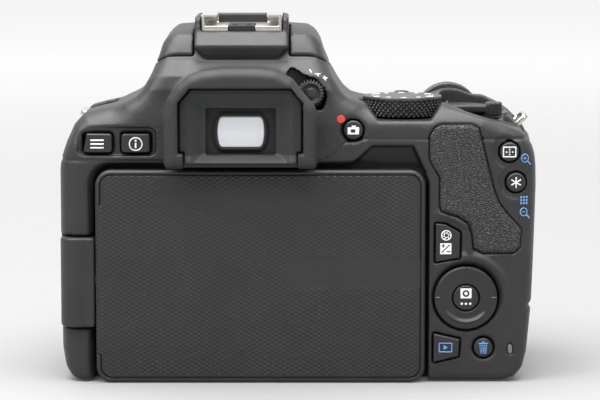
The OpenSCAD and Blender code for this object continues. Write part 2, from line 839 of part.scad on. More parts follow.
module dioptre_knob() {
    color(key_black) difference() {
        union() {
            rod_y(dioptre_at[0], dioptre_at[1], -23.6, -16, 3.4);
            rod_y(dioptre_at[0], dioptre_at[1], -16, -13, 1.5);
        }
        for (a = [0:20:340]) translate([dioptre_at[0], -24, dioptre_at[1]]) rotate([-90, a, 0]) translate([3.5, 0, 0])
            cylinder(r = 0.3, h = 5, $fn = 16);
    }
}

// ---------- folding screen ----------

module screen_outline(d) {
    translate([screen_x + screen_w / 2, screen_z + screen_h / 2])
        round_rect([screen_w - 2 * d, screen_h - 2 * d], 4 - d, $fn = 32);
}

module hinge_block() {
    color(shell_black) difference() {
        union() {
            translate([hinge_at[0], hinge_at[1], hinge_low]) cylinder(r = hinge_r, h = hinge_high - hinge_low);
            block([hinge_at[0], hinge_at[1] - hinge_r, hinge_low], [screen_x - 0.3, hinge_at[1] + 2, hinge_high]);
        }
        translate([hinge_at[0], hinge_at[1], 0]) cylinder(r = hinge_pin_r, h = far);
        // seat of the crosswise pivot that the screen turns on
        rod_x(hinge_at[1] - 1, 25.5, -39.6, 0, 1.5);
    }
}

module hinge_pin() {
    color(steel) union() {
        translate([hinge_at[0], hinge_at[1], hinge_low - 2.4]) cylinder(r = hinge_pin_r, h = hinge_high - hinge_low + 4.8);
    }
    color(steel) rod_x(hinge_at[1] - 1, 25.5, -39.6, screen_x + 1.1, 1.5);
}

module screen_shell() {
    color(shell_black) difference() {
        union() {
            plate(rear_y + 0.7, screen_front - 1.6) screen_outline(0);
            plate(rear_y, rear_y + 0.7) screen_outline(0.7);
        }
        plate(rear_y + 1.6, 0) screen_outline(1.4);
        rod_x(hinge_at[1] - 1, 25.5, -60, screen_x + 3, 1.5);
    }
}

module screen_bezel() {
    color([0.04, 0.04, 0.045]) difference() {
        union() {
            plate(screen_front - 1.5, screen_front) screen_outline(0.1);
            plate(screen_front - 2.4, screen_front - 1.5) screen_outline(1.6);
        }
        plate(-far, 0) translate([screen_x + screen_w / 2, screen_z + screen_h / 2]) square([64, 43], center = true);
        plate(screen_front - 0.9, 0) translate([screen_x + screen_w / 2, screen_z + screen_h / 2]) square([73, 49], center = true);
    }
}

module screen_glass() {
    color([0.03, 0.03, 0.04]) plate(screen_front - 0.85, screen_front - 0.1)
        translate([screen_x + screen_w / 2, screen_z + screen_h / 2]) square([72.8, 48.8], center = true);
    color([0.1, 0.12, 0.16]) plate(screen_front - 4.2, screen_front - 1)
        translate([screen_x + screen_w / 2, screen_z + screen_h / 2]) square([63.6, 42.6], center = true);
}

// ---------- inner works ----------

module chassis() {
    color([0.55, 0.55, 0.56]) difference() {
        union() {
            block([-24, -11.6, 7.2], [47.5, -10.4, 55]);
            block([-24, -10.4, 7.2], [-22.8, 11.4, 55]);
            block([46.3, -10.4, 7.2], [47.5, 11.4, 55]);
            block([-24, -10.4, 7.2], [47.5, 11.4, 8.6]);
        }
        block([-16, -20, lens_z - 11], [16, 0, lens_z + 11]);
    }
}

module image_sensor() {
    color([0.15, 0.2, 0.18]) block([-16, sensor_y - 1.6, lens_z - 11], [16, sensor_y - 0.9, lens_z + 11]);
    color([0.2, 0.25, 0.35]) block([-11.15, sensor_y - 0.8, lens_z - 7.45], [11.15, sensor_y, lens_z + 7.45]);
}

module shutter_frame() {
    color([0.12, 0.12, 0.13]) difference() {
        block([-19.5, shutter_y - 1.4, 16.6], [19.5, shutter_y + 1.2, 51]);
        block([-aperture[0] / 2, -20, lens_z - aperture[1] / 2], [aperture[0] / 2, 10, lens_z + aperture[1] / 2]);
        block([-14.4, shutter_y - 0.9, 18], [14.4, shutter_y + 0.9, 48.4]);
    }
}

module shutter_blade(n) {
    color([0.18, 0.18, 0.19]) block(
        [-14, shutter_y - 0.55 + 0.6 * (n - 1), lens_z + aperture[1] / 2 + 0.4 - n * blade_h + 0.2 * (n - 1)],
        [14, shutter_y - 0.45 + 0.6 * (n - 1) + 0.2, lens_z + aperture[1] / 2 + 0.4 - (n - 1) * blade_h + 0.2 * (n - 1)]
    );
}

module main_board() {
    color([0.08, 0.3, 0.16]) block([-34, -14.9, 6], [45, -13.9, 52]);
    color([0.12, 0.12, 0.13]) {
        block([-20, -13.9, 22], [-6, -12.6, 36]);
        block([2, -13.9, 12], [14, -12.8, 22]);
        block([20, -13.9, 28], [38, -12.8, 46]);
        block([-32, -13.9, 40], [-24, -12.8, 48]);
    }
}

module battery() {
    color([0.2, 0.2, 0.22]) translate(battery_at) union() {
        block([0, 0, 0], battery_size);
    }
}

module terminal_sockets() {
    // microphone and remote sockets on the left
    for (z = jack_sockets) color([0.15, 0.15, 0.15]) difference() {
        rod_x(3.5, z, -42.4, -32, 3.2);
        rod_x(3.5, z, -45, -33.5, 1.75);
    }
    // digital and video sockets on the right
    for (z = port_sockets) color([0.6, 0.6, 0.6]) difference() {
        block([67.5, -11, z[0] - z[1] - 0.4], [71.2, -7.2, z[0] + z[1] + 0.4]);
        block([68.2, -10.5, z[0] - z[1]], [80, -7.7, z[0] + z[1]]);
    }
}

// ---------- covers of the terminals ----------

// side 1 is the grip side, side -1 the other
module port_pocket(side, c) {
    if (side < 0) block([x_left - 5, -2.2 - c, 25.8 - c], [-42.6, 12.2 + c, 53.2 + c]);
    else block([71.4, -14.2 - c, 15.8 - c], [x_right + 5, -3.8 + c, 39.2 + c]);
}

module jack_cover() {
    color(rubber_black) intersection() {
        main_form(0.02);
        union() {
            block([-60, -1.8, 26.2], [-44.3, 11.4, 52.8]);
            translate([-44.9, 11, 27.4]) cylinder(r = 0.7, h = 24);
        }
    }
}

module port_cover() {
    color(rubber_black) intersection() {
        main_form(0.02);
        block([73.2, -13.8, 16.2], [90, -4.3, 38.8]);
    }
}

// ---------- battery door ----------

module door_space() {
    block([door_x[0] - gap, door_y[0] - gap, -1], [door_x[1] + gap, door_y[1] + gap, 2.7]);
    rod_x(door_hinge[0], door_hinge[1], door_x[0] - gap, door_x[1] + gap, 1.9);
    block([battery_at[0] - 0.4, battery_at[1] - 0.4, 0], [battery_at[0] + 14.4, battery_at[1] + 33.4, 4]);
}

module battery_door() {
    color(shell_black) difference() {
        union() {
            block([door_x[0], door_hinge[0], 0.4], [door_x[1], door_y[1] - 1.5, 0.4 + door_t]);
            rod_x(door_hinge[0], door_hinge[1], door_x[0], door_x[1], 1.5);
        }
        block([56, door_y[1] - 10, -1], [63.4, door_y[1] - 3.2, 1.4]);
        rod_x(door_hinge[0], door_hinge[1], door_x[0] - 1, door_x[1] + 1, 0.6);
    }
    color(steel) rod_x(door_hinge[0], door_hinge[1], door_x[0] + 0.2, door_x[1] - 0.2, 0.6);
}

module door_latch() {
    color(key_black) difference() {
        block([56.4, door_y[1] - 7.6, 0.5], [63, door_y[1] - 3.6, 1.3]);
        for (i = [0:3]) block([56, door_y[1] - 7 + 0.9 * i, 0], [64, door_y[1] - 6.6 + 0.9 * i, 0.75]);
    }
}

// ---------- small parts ----------

case_screw_at = [[-33, -13], [-33, 7.5], [42, -13], [42, 10], [-14, 11.5], [18, 11.5]];

module case_screws() {
    color([0.12, 0.12, 0.12]) for (at = case_screw_at) translate([at[0], at[1], 0.3]) difference() {
        cylinder(r = 1.5, h = 4.5);
        for (a = [0, 90]) rotate([0, 0, a]) block([-0.9, -0.2, -1], [0.9, 0.2, 0.5]);
    }
}

module tripod_socket() {
    color(steel) difference() {
        cylinder(r = 5.1, h = 7);
        translate([0, 0, -1]) cylinder(r = tripod_r, h = 7.2);
    }
}

module strap_lugs() {
    color(steel) {
        translate([-36.4, 2, 66.9]) rotate([0, -17, 0]) difference() {
            block([-5.4, -5.2, -2.4], [1.6, 5.2, -0.9]);
            block([-3.6, -4, -4], [-0.6, 4, 2]);
        }
        translate([70.6, 2, 63.4]) rotate([0, 47, 0]) difference() {
            block([-0.7, -5.2, -3.4], [0.7, 5.2, 4]);
            block([-2, -4, 0.4], [2, 4, 3]);
        }
    }
}

module lamp_windows() {
    color([0.5, 0.5, 0.5]) rod_y(lamp_at[0], lamp_at[1], wall_y - 0.1, inner_y, 0.85);
    color([0.5, 0.15, 0.1]) rod_y(50.5, 54, 17.4, 22, 1.6);
}

front_cover();
rear_cover();
top_cover();
base_plate();
grip_rubber();
thumb_rubber();
lens_mount();
mount_screws();
contact_block();
mirror_box();
focusing_screen();
pentamirror();
eyepiece_lens();
eyecup();
hot_shoe();
shoe_insert();
strap_lugs();
tripod_socket();
chassis();
image_sensor();
shutter_frame();
main_board();
battery();
terminal_sockets();
case_screws();
lamp_windows();
hinge_block();
hinge_pin();
screen_shell();
screen_bezel();
screen_glass();
mode_dial();
main_dial();
power_switch();
shutter_button();
iso_button();
disp_button();
menu_button();
info_button();
live_view_button();
af_point_button();
ae_lock_button();
av_button();
playback_button();
erase_button();
set_button();
cross_keys();
dioptre_knob();
flash_head();
flash_lens();
lens_release_button();
lens_lock_pin();
main_mirror();
sub_mirror();
shutter_blade(1);  // shutter_blade_1
shutter_blade(2);  // shutter_blade_2
battery_door();
door_latch();
jack_cover();
port_cover();
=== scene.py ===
"""Looks of a reflex camera body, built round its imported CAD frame.

Most shapes are distance fields in millimetres, negative inside and zero on the surface.
They become meshes in metres.
"""

import math
from functools import reduce

import bpy
import numpy as np
from mathutils import Matrix, Vector


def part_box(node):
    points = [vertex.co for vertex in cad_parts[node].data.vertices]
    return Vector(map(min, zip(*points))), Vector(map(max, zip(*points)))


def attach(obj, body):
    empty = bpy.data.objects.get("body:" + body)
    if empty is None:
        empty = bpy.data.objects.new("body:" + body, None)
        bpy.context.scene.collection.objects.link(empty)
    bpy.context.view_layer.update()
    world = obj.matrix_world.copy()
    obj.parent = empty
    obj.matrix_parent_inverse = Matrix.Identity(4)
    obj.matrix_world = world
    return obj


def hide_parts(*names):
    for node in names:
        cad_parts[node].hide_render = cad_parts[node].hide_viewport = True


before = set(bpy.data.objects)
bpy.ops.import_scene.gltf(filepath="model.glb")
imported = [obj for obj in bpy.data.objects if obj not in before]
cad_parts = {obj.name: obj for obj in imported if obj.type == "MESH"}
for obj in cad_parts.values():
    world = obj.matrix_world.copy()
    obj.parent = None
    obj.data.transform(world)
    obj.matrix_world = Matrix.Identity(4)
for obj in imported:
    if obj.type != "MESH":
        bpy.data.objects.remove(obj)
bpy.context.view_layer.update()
MM = 0.001
BODY = "camera_body"
COARSE = 1.0


def corners(node):
    """Lowest and highest corner of a CAD node, in millimetres."""
    low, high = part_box(node)
    return np.array(low) / MM, np.array(high) / MM


def middle(node):
    low, high = corners(node)
    return (low + high) / 2


def radius(node):
    """Half the width of a round CAD node, along x."""
    low, high = corners(node)
    return (high[0] - low[0]) / 2


# ---- places, in millimetres: from the frame, or given where it has no node for them

LENS_Z = middle("lens_mount")[2]
FLANGE_Y = corners("lens_mount")[1][1]
MOUNT_R = radius("lens_mount")
REAR_Y = corners("screen_shell")[0][1]
LEFT, RIGHT = (corner[0] for corner in corners("front_cover"))
TOP = corners("flash_head")[1][2]
EYE_Y = corners("eyecup")[0][1]
WALL_Y = REAR_Y + 1.4  # the rear wall's face, beside the screen
SCREEN_LOW, SCREEN_HIGH = corners("screen_shell")
SCREEN_LOW = SCREEN_LOW - np.array([0, 0, 0.8])
SCREEN_FRONT = corners("screen_bezel")[1][1]
RECESS_Y = SCREEN_FRONT + 0.5
EYE_Z = middle("eyepiece_lens")[2]
MODE = middle("mode_dial")
MODE_R = radius("mode_dial")
MODE_TOP = corners("mode_dial")[1][2]
MAIN_DIAL = middle("main_dial")
MAIN_DIAL_R = radius("main_dial")
hinge_low, hinge_high = corners("hinge_block")
HINGE = (hinge_low[0] + 3.9, hinge_low[1] + 3.9)
HINGE_LOW, HINGE_HIGH = hinge_low[2] - 0.3, hinge_high[2]
SHOE_LOW, SHOE_HIGH = corners("hot_shoe")
SWITCH = (56.2, -3.2)  # the power switch's axis
SWITCH_Z = corners("power_switch")[1][2] - 2.8
SHUTTER = np.array([61.0, 26.5, 62.6])
SHUTTER_TILT = math.radians(-28)
FLASH_AXIS = (-12.4, 84.2)
FLASH_INNER_R = 21.85
SPLIT_Y = -4.0  # where the front and rear covers meet
GAP = 0.35
BUTTON_R = 2.5
HOLE_FLOOR = -17  # how deep (y) the key holes of the rear wall go
KEY_FOOT = -20  # how deep (y) the rear keys go
LAMP_LINE = ((68.1, 7.6), (68.1, 8.8))
RELEASE = (-37.4, 30)  # the lens release button's middle (x, z)
FOCUS_LAMP = (50.5, 54)

AV_OUTLINE = [(49.0, 40.4), (51.5, 40.2), (55.3, 38.1), (55.2, 31.6), (49.0, 30.5)]
PLAY_OUTLINE = [(48.6, 12.3), (55.3, 10.8), (55.0, 6.4), (48.6, 4.8)]
FINGER_OUTLINE = [(25.6, 53.2), (46.4, 53.2), (43.4, 59.9), (33.0, 59.9)]
THUMB_OUTLINE = [
    (50.4, 65.3), (57.9, 65.3), (59.8, 64.3), (61.6, 57), (63.7, 48.8), (65, 45.5), (67, 42.9),
    (70.6, 39), (70.3, 34.3), (68.7, 32.8), (61, 32.8), (58.6, 34), (58.3, 37.1), (57.3, 40.4),
    (54.8, 42), (50.5, 43.4), (50.1, 45), (50.1, 51.9), (48, 55.5), (47.5, 57), (47.5, 62.5), (48.7, 64.6),
]
EYECUP_OUTLINE = [
    (-19.2, 55.4), (-19.2, 68.5), (-18.2, 73.0), (-16.3, 76), (-13.7, 78.2), (-10.5, 79.3), (-5, 79.9),
    (5, 79.9), (9.5, 79.4), (13.0, 77.6), (15.9, 73.8), (18.8, 70.4), (19.2, 68.5), (19.2, 55.4),
]
BASE_OUTLINE = [
    (-37.25, -16.85), (48.6, -16.85), (48.6, 10.2), (46.8, 13.7), (20, 15.25), (-20, 15.25), (-37.25, 11.25),
]
DIOPTRE = middle("dioptre_knob")
DIOPTRE_SLOT = [
    (12.6, 79.6), (16.1, 77.7), (19, 76.6), (21.1, 74.3), (21.5, 71.9), (20.4, 69), (13, 69.5), (11.5, 78),
]
LUG_RIGHT = (70.6, 63.4)

# ---- distance fields


def smax(a, b, k):
    """The larger of two fields, with a fillet about k wide where they meet."""
    blend = np.maximum(k - np.abs(a - b), 0) / k
    return np.maximum(a, b) + blend * blend * (k / 4)


def smin(a, b, k):
    return -smax(-a, -b, k)


def cut(a, b, k):
    return smax(a, -b, k)


def union(*fields):
    return reduce(np.minimum, fields)


def meet(*fields):
    return reduce(np.maximum, fields)


def unit(value):
    return np.clip(value, 0, 1)


def mirrored(points):
    """An outline that is the same on both sides of zero, from its left half."""
    return points + [(-u, v) for u, v in reversed(points)]


def polar(u, v):
    return np.hypot(u, v), np.arctan2(v, u)


def zigzag(turns):
    """A wave from 0 up to 1 and back, once for each whole turn."""
    return np.abs(turns % 1 - 0.5) * 2


def polygon(u, v, points):
    """Signed distance to a closed outline, negative inside."""
    best = None
    sign = 1.0
    count = len(points)
    for i in range(count):
        (au, av), (bu, bv) = points[i], points[i - 1]
        eu, ev = bu - au, bv - av
        wu, wv = u - au, v - av
        t = unit((wu * eu + wv * ev) / (eu * eu + ev * ev))
        square = (wu - eu * t) ** 2 + (wv - ev * t) ** 2
        best = square if best is None else np.minimum(best, square)
        above, below = v >= av, v < bv
        left = eu * wv > ev * wu
        flips = (above & below & left) | (~above & ~below & ~left)
        sign = np.where(flips, -sign, sign)
    return sign * np.sqrt(best)


def rect(u, v, cu, cv, hu, hv, r=0.0):
    """Signed distance to a rectangle with rounded corners, from its centre and half sizes."""
    qu, qv = np.abs(u - cu) - hu + r, np.abs(v - cv) - hv + r
    return np.hypot(np.maximum(qu, 0), np.maximum(qv, 0)) + np.minimum(np.maximum(qu, qv), 0) - r


def disc(u, v, cu, cv, r):
    return np.hypot(u - cu, v - cv) - r


def slab(w, low, high):
    return np.maximum(low - w, w - high)


def box3(x, y, z, low, high):
    return meet(*[slab(w, low[n], high[n]) for n, w in enumerate((x, y, z))])


def capsule(u, v, a, b, r):
    """Signed distance to a thick line from a to b."""
    eu, ev = b[0] - a[0], b[1] - a[1]
    t = unit(((u - a[0]) * eu + (v - a[1]) * ev) / (eu * eu + ev * ev))
    return np.hypot(u - a[0] - eu * t, v - a[1] - ev * t) - r


# ---- meshes from fields


def ticks(low, high, step, fine=()):
    """Grid lines from low to high; fine is a list of (from, to, step) stretches with their own spacing."""
    out = [low]
    while out[-1] < high:
        here = step
        for start, end, small in fine:
            if start <= out[-1] < end:
                here = min(here, small)
        out.append(out[-1] + here * COARSE)
    return np.array(out)


def surface(f, xs, ys, zs):
    """Surface nets: one point in each cell that the surface crosses, joined by quads."""
    inside = f < 0
    nx, ny, nz = f.shape
    count = np.zeros((nx - 1, ny - 1, nz - 1), np.int8)
    steps = [(i, j, k) for i in (0, 1) for j in (0, 1) for k in (0, 1)]
    for i, j, k in steps:
        count += inside[i:nx - 1 + i, j:ny - 1 + j, k:nz - 1 + k]
    mixed = (count > 0) & (count < 8)
    cells = np.argwhere(mixed)
    number = np.full(mixed.shape, -1, np.int64)
    number[mixed] = np.arange(len(cells))
    total = np.zeros((len(cells), 3))
    hits = np.zeros(len(cells))
    axes = (xs, ys, zs)
    for a in steps:
        for axis in range(3):
            if a[axis]:
                continue
            b = list(a)
            b[axis] = 1
            ia, ib = cells + a, cells + b
            fa, fb = f[tuple(ia.T)], f[tuple(ib.T)]
            crossed = (fa < 0) != (fb < 0)
            t = np.where(crossed, fa / np.where(crossed, fa - fb, 1), 0)
            for n in range(3):
                pa, pb = axes[n][ia[:, n]], axes[n][ib[:, n]]
                total[:, n] += np.where(crossed, pa + (pb - pa) * t, 0)
            hits += crossed
    points = total / hits[:, None]
    quads = []
    for axis in range(3):
        low = [slice(None)] * 3
        high = [slice(None)] * 3
        low[axis], high[axis] = slice(0, -1), slice(1, None)
        changed = inside[tuple(low)] != inside[tuple(high)]
        one, two = (axis + 1) % 3, (axis + 2) % 3
        edges = np.argwhere(changed)
        shape = np.array(mixed.shape)
        pair = edges[:, [one, two]]
        edges = edges[((pair > 0) & (pair < shape[[one, two]])).all(1)]
        ring = []
        for d_one, d_two in ((-1, -1), (0, -1), (0, 0), (-1, 0)):
            at = edges.copy()
            at[:, one] += d_one
            at[:, two] += d_two
            ring.append(number[tuple(at.T)])
        ring = np.stack(ring, 1)
        outward = inside[tuple(edges.T)]
        quads.append(np.where(outward[:, None], ring, ring[:, ::-1]))
    return points, np.concatenate(quads)


def shown_mesh(name, points, quads):
    """A smooth shaded object from points in millimetres and quads."""
    used = np.unique(quads)
    renumber = np.zeros(len(points), np.int64)
    renumber[used] = np.arange(len(used))
    points, quads = points[used] * MM, renumber[quads]
    mesh = bpy.data.meshes.new(name)
    mesh.vertices.add(len(points))
    mesh.vertices.foreach_set("co", points.astype(np.float32).ravel())
    mesh.loops.add(quads.size)
    mesh.loops.foreach_set("vertex_index", quads.astype(np.int32).ravel())
    mesh.polygons.add(len(quads))
    mesh.polygons.foreach_set("loop_start", np.arange(0, quads.size, 4, dtype=np.int32))
    mesh.update(calc_edges=True)
    mesh.shade_smooth()
    mesh.set_sharp_from_angle(angle=math.radians(52))
    obj = bpy.data.objects.new(name, mesh)
    bpy.context.scene.collection.objects.link(obj)
    return obj


def dress(obj, body, material, slot_name, nodes=()):
    obj.data.materials.append(material)
    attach(obj, body)
    if nodes:
        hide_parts(*nodes)
    return obj


def grid(low, high, step, fine=((), (), ())):
    xs, ys, zs = (ticks(low[n] - step, high[n] + step, step, fine[n]) for n in range(3))
    return xs, ys, zs, xs[:, None, None], ys[None, :, None], zs[None, None, :]


def part(name, field, low, high, step, body, material, slot_name, nodes=(), turn=None, fine=((), (), ())):
    """A piece whose surface is where field(x, y, z) is zero, inside the box from low to high."""
    xs, ys, zs, x, y, z = grid(low, high, step, fine)
    values = np.broadcast_to(field(x, y, z), (len(xs), len(ys), len(zs))).astype(np.float32)
    points, quads = surface(values, xs, ys, zs)
    if turn is not None:
        points = points @ np.array(turn.to_3x3()).T + np.array(turn.translation)
    return dress(shown_mesh(name, points, quads), body, material, slot_name, nodes)


# ---- materials


def add_node(tree, kind, vector=None, **inputs):
    """A new shader node with its inputs set; vector is the socket that feeds its Vector input."""
    made = tree.nodes.new("ShaderNode" + kind)
    for name, value in inputs.items():
        made.inputs[name.replace("_", " ")].default_value = value
    if vector is not None:
        tree.links.new(vector, made.inputs["Vector"])
    return made


def material(name, colour, roughness, bump=None, mottle=0.12, spread=0.10, **more):
    """A procedural finish. bump is (scale, depth in metres, texture).

    mottle varies the colour, and spread the roughness.
    """
    made = bpy.data.materials.new(name)
    made.use_nodes = True
    tree = made.node_tree
    link = tree.links.new
    shader = tree.nodes["Principled BSDF"]
    for key, value in more.items():
        shader.inputs[key.replace("_", " ")].default_value = value
    place = add_node(tree, "TexCoord").outputs["Object"]
    ramp = add_node(tree, "ValToRGB")
    for element, position, factor in zip(ramp.color_ramp.elements, (0.3, 0.7), (1 - mottle, 1 + mottle)):
        element.position = position
        element.color = (*[c * factor for c in colour], 1)
    link(add_node(tree, "TexNoise", place, Scale=90, Detail=6).outputs["Fac"], ramp.inputs["Fac"])
    link(ramp.outputs["Color"], shader.inputs["Base Color"])
    gloss = add_node(tree, "MapRange", To_Min=roughness - spread / 2, To_Max=roughness + spread / 2)
    link(add_node(tree, "TexNoise", place, Scale=240, Detail=4).outputs["Fac"], gloss.inputs["Value"])
    link(gloss.outputs["Result"], shader.inputs["Roughness"])
    if bump:
        scale, depth, kind = (*bump, "Noise")[:3]
        texture = add_node(tree, "Tex" + kind, place, Scale=scale)
        relief_node = add_node(tree, "Bump", Strength=1, Distance=depth)
        link(texture.outputs["Distance" if kind == "Voronoi" else "Fac"], relief_node.inputs["Height"])
        link(relief_node.outputs["Normal"], shader.inputs["Normal"])
    return made


def add_creases(made, scale, depth):
    """Adds leather creases to a finish: cells with sunken borders, and colour painted darker in the creases
    as shade and lighter on the cells as light.
    """
    tree = made.node_tree
    shader = tree.nodes["Principled BSDF"]
    stretch = add_node(tree, "Mapping", add_node(tree, "TexCoord").outputs["Object"], Scale=(0.8, 1.0, 1.25))
    cells = add_node(tree, "TexVoronoi", stretch.outputs["Vector"], Scale=scale)
    cells.feature = "DISTANCE_TO_EDGE"
    height = add_node(tree, "MapRange", From_Max=0.22)
    # painted shade and light: the base colour is multiplied down to 0.55 in the creases and up to 1.25 on the
    # cells
    crease_shading = add_node(tree, "MapRange", To_Min=0.55, To_Max=1.25)
    shade = add_node(tree, "Mix")
    shade.data_type, shade.blend_type = "RGBA", "MULTIPLY"
    shade.inputs["Factor"].default_value = 1.0
    bump = add_node(tree, "Bump", Distance=depth)
    for start, end in (
        (cells.outputs["Distance"], height.inputs["Value"]),
        (height.outputs["Result"], crease_shading.inputs["Value"]),
        (shader.inputs["Base Color"].links[0].from_socket, shade.inputs["A"]),
        (crease_shading.outputs["Result"], shade.inputs["B"]),
        (shade.outputs["Result"], shader.inputs["Base Color"]),
        (height.outputs["Result"], bump.inputs["Height"]),
        (shader.inputs["Normal"].links[0].from_socket, bump.inputs["Normal"]),
        (bump.outputs["Normal"], shader.inputs["Normal"]),
    ):
        tree.links.new(start, end)


SHELL = material("shell_plastic", (0.018, 0.018, 0.0193), 0.45, bump=(3200, 6e-5))
KEY = material("key_plastic", (0.015, 0.015, 0.016), 0.42, bump=(4500, 2e-5))
SCREEN_BACK = material("screen_back_plastic", (0.018, 0.018, 0.0192), 0.45, bump=(4000, 3e-5))
# Base colour about twice as light as the key plastic: painted sheen standing in for the highlights on the
# knurls.
KNURL_SHEEN = material("knurled_plastic_painted_sheen", (0.034, 0.034, 0.036), 0.36, bump=(4500, 2e-5))
GRAIN = material("grained_rubber", (0.030, 0.030, 0.032), 0.5, bump=(3500, 6e-5))
add_creases(GRAIN, 1250, 0.0002)
SOFT = material("soft_rubber", (0.017, 0.017, 0.018), 0.6, bump=(3600, 4e-5))
FRAME = material("eyecup_plastic", (0.016, 0.018, 0.017), 0.5, bump=(3000, 3e-5))
BLACKENED = material("blackened_steel", (0.02, 0.02, 0.022), 0.35, Metallic=0.6, bump=(2600, 1e-5))
# Dark inner plastic; also used for the speaker holes' discs, where it is painted shade.
PIT = material("inner_plastic_and_hole_shade", (0.010, 0.010, 0.011), 0.7, bump=(2500, 5e-5))
STEEL = material("satin_steel", (0.66, 0.64, 0.59), 0.30, Metallic=1.0, bump=(2600, 8e-6), mottle=0.05)
MOUNT_STEEL = material("mount_steel", (0.74, 0.74, 0.75), 0.20, Metallic=1.0, bump=(1800, 6e-6), mottle=0.04)
GOLD = material("gold_contacts", (0.80, 0.58, 0.25), 0.25, Metallic=1.0, mottle=0.06)
WHITE = material("white_print", (0.72, 0.73, 0.74), 0.5, mottle=0.04)
BLUE = material("blue_print", (0.13, 0.29, 0.58), 0.5, mottle=0.05)
RED = material("red_print", (0.50, 0.035, 0.03), 0.4, mottle=0.05)
GLASS = material(
    "clear_glass", (0.9, 0.93, 0.94), 0.05, spread=0.02, mottle=0.02, Transmission_Weight=0.9, IOR=1.5,
)
# The eyepiece glass glows by emission though it is no lamp: painted light standing in for the view through
# the finder.
EYEPIECE_GLOW = material(
    "eyepiece_painted_glow", (0.30, 0.31, 0.32), 0.12, spread=0.05, mottle=0.06,
    Emission_Color=(0.93, 0.95, 1.0, 1.0), Emission_Strength=0.35, Coat_Weight=0.3,
)
SILVERED = material("silvered_glass", (0.86, 0.88, 0.9), 0.04, Metallic=1.0, spread=0.02, mottle=0.02)
BOARD = material("circuit_board", (0.03, 0.16, 0.08), 0.45, bump=(700, 1e-4, "Voronoi"))
SHEET = material("pressed_sheet", (0.5, 0.5, 0.52), 0.35, Metallic=1.0, bump=(1500, 1e-5))
CELL = material("battery_plastic", (0.05, 0.05, 0.055), 0.4, bump=(3000, 3e-5))
SENSOR = material("sensor_glass", (0.05, 0.08, 0.14), 0.08, spread=0.03, Coat_Weight=1.0)
DISPLAY = material("display_glass", (0.006, 0.006, 0.008), 0.07, spread=0.03, Coat_Weight=0.8)
DIFFUSER = material(
    "flash_diffuser", (0.8, 0.82, 0.84), 0.2, bump=(900, 2e-4, "Wave"), Transmission_Weight=0.5,
)
LAMP = material("lamp_window", (0.13, 0.13, 0.13), 0.3, spread=0.05, Coat_Weight=0.3)

# ---- the moulded body

MAIN_OUTLINE = [
    (-41.2, 0.1), (66, 0.1), (69.2, 1), (71.3, 3.2), (72.5, 7.5), (73.6, 18.2), (72.8, 19.1), (73.8, 20.2),
    (74.5, 35), (75.1, 50), (74.8, 58), (74.2, 60.2), (72.3, 62.6), (68.6, 66.1), (65, 68.6), (62, 70.1),
    (56, 70.6), (28, 70.6), (-25, 71.3), (-36, 68.9), (-39.8, 67.9), (-42.8, 65.4), (-44.8, 61),
    (-46, 57), (-46.6, 53.6), (-46.6, 20), (-46.1, 8), (-45, 3.3), (-43.4, 1.1),
]
HUMP_REAR = mirrored([
    (-32.5, 58), (-29, 69.6), (-26.4, 71.8), (-24.9, 74), (-22.9, 77.6), (-21.1, 82),
    (-20.2, 85), (-18.8, 87.4), (-16.9, 88.9), (-11, 89.4), (-9, 91.6),
])
HUMP_SIDE = [
    (-22.3, 56), (-22, 74), (-20.9, 77.6), (-16.7, 81.2), (-14.6, 84.6), (-12.2, 88.3), (-5, 90.4),
    (6, TOP - 0.4), (16, TOP - 0.4), (24.6, 89.6), (30.6, 85), (33.2, 79), (33.2, 73), (31, 62), (20, 56),
]
shoe_back, shoe_front = SHOE_LOW[1], SHOE_HIGH[1]
PEDESTAL_SIDE = [
    (shoe_back - 4.8, 84.9), (shoe_back - 1.4, 88), (shoe_back - 0.6, 91.2), (shoe_back + 0.6, 92.1),
    (shoe_front + 1.4, 92.1), (shoe_front + 1.4, 78), (shoe_back + 2, 78), (shoe_back - 4, 81.8),
]


def flash_region(x, y, z, c):
    """The room of the flash cover, grown by c."""
    side = polygon(y, z, [
        (FLASH_AXIS[0] - c, 80.6 - c), (8, 78 - c), (80, 78 - c), (80, 120), (FLASH_AXIS[0] - c, 120),
    ])
    side = union(side, disc(y, z, *FLASH_AXIS, 3.6 + c))
    wings = 11.9 - c + GAP - np.abs(x)
    nose = meet(FLASH_AXIS[0] + 8 - y, FLASH_INNER_R - c - np.hypot(y - FLASH_AXIS[0], z - FLASH_AXIS[1]))
    return meet(side, union(wings, nose), np.abs(x) - 24 - c)


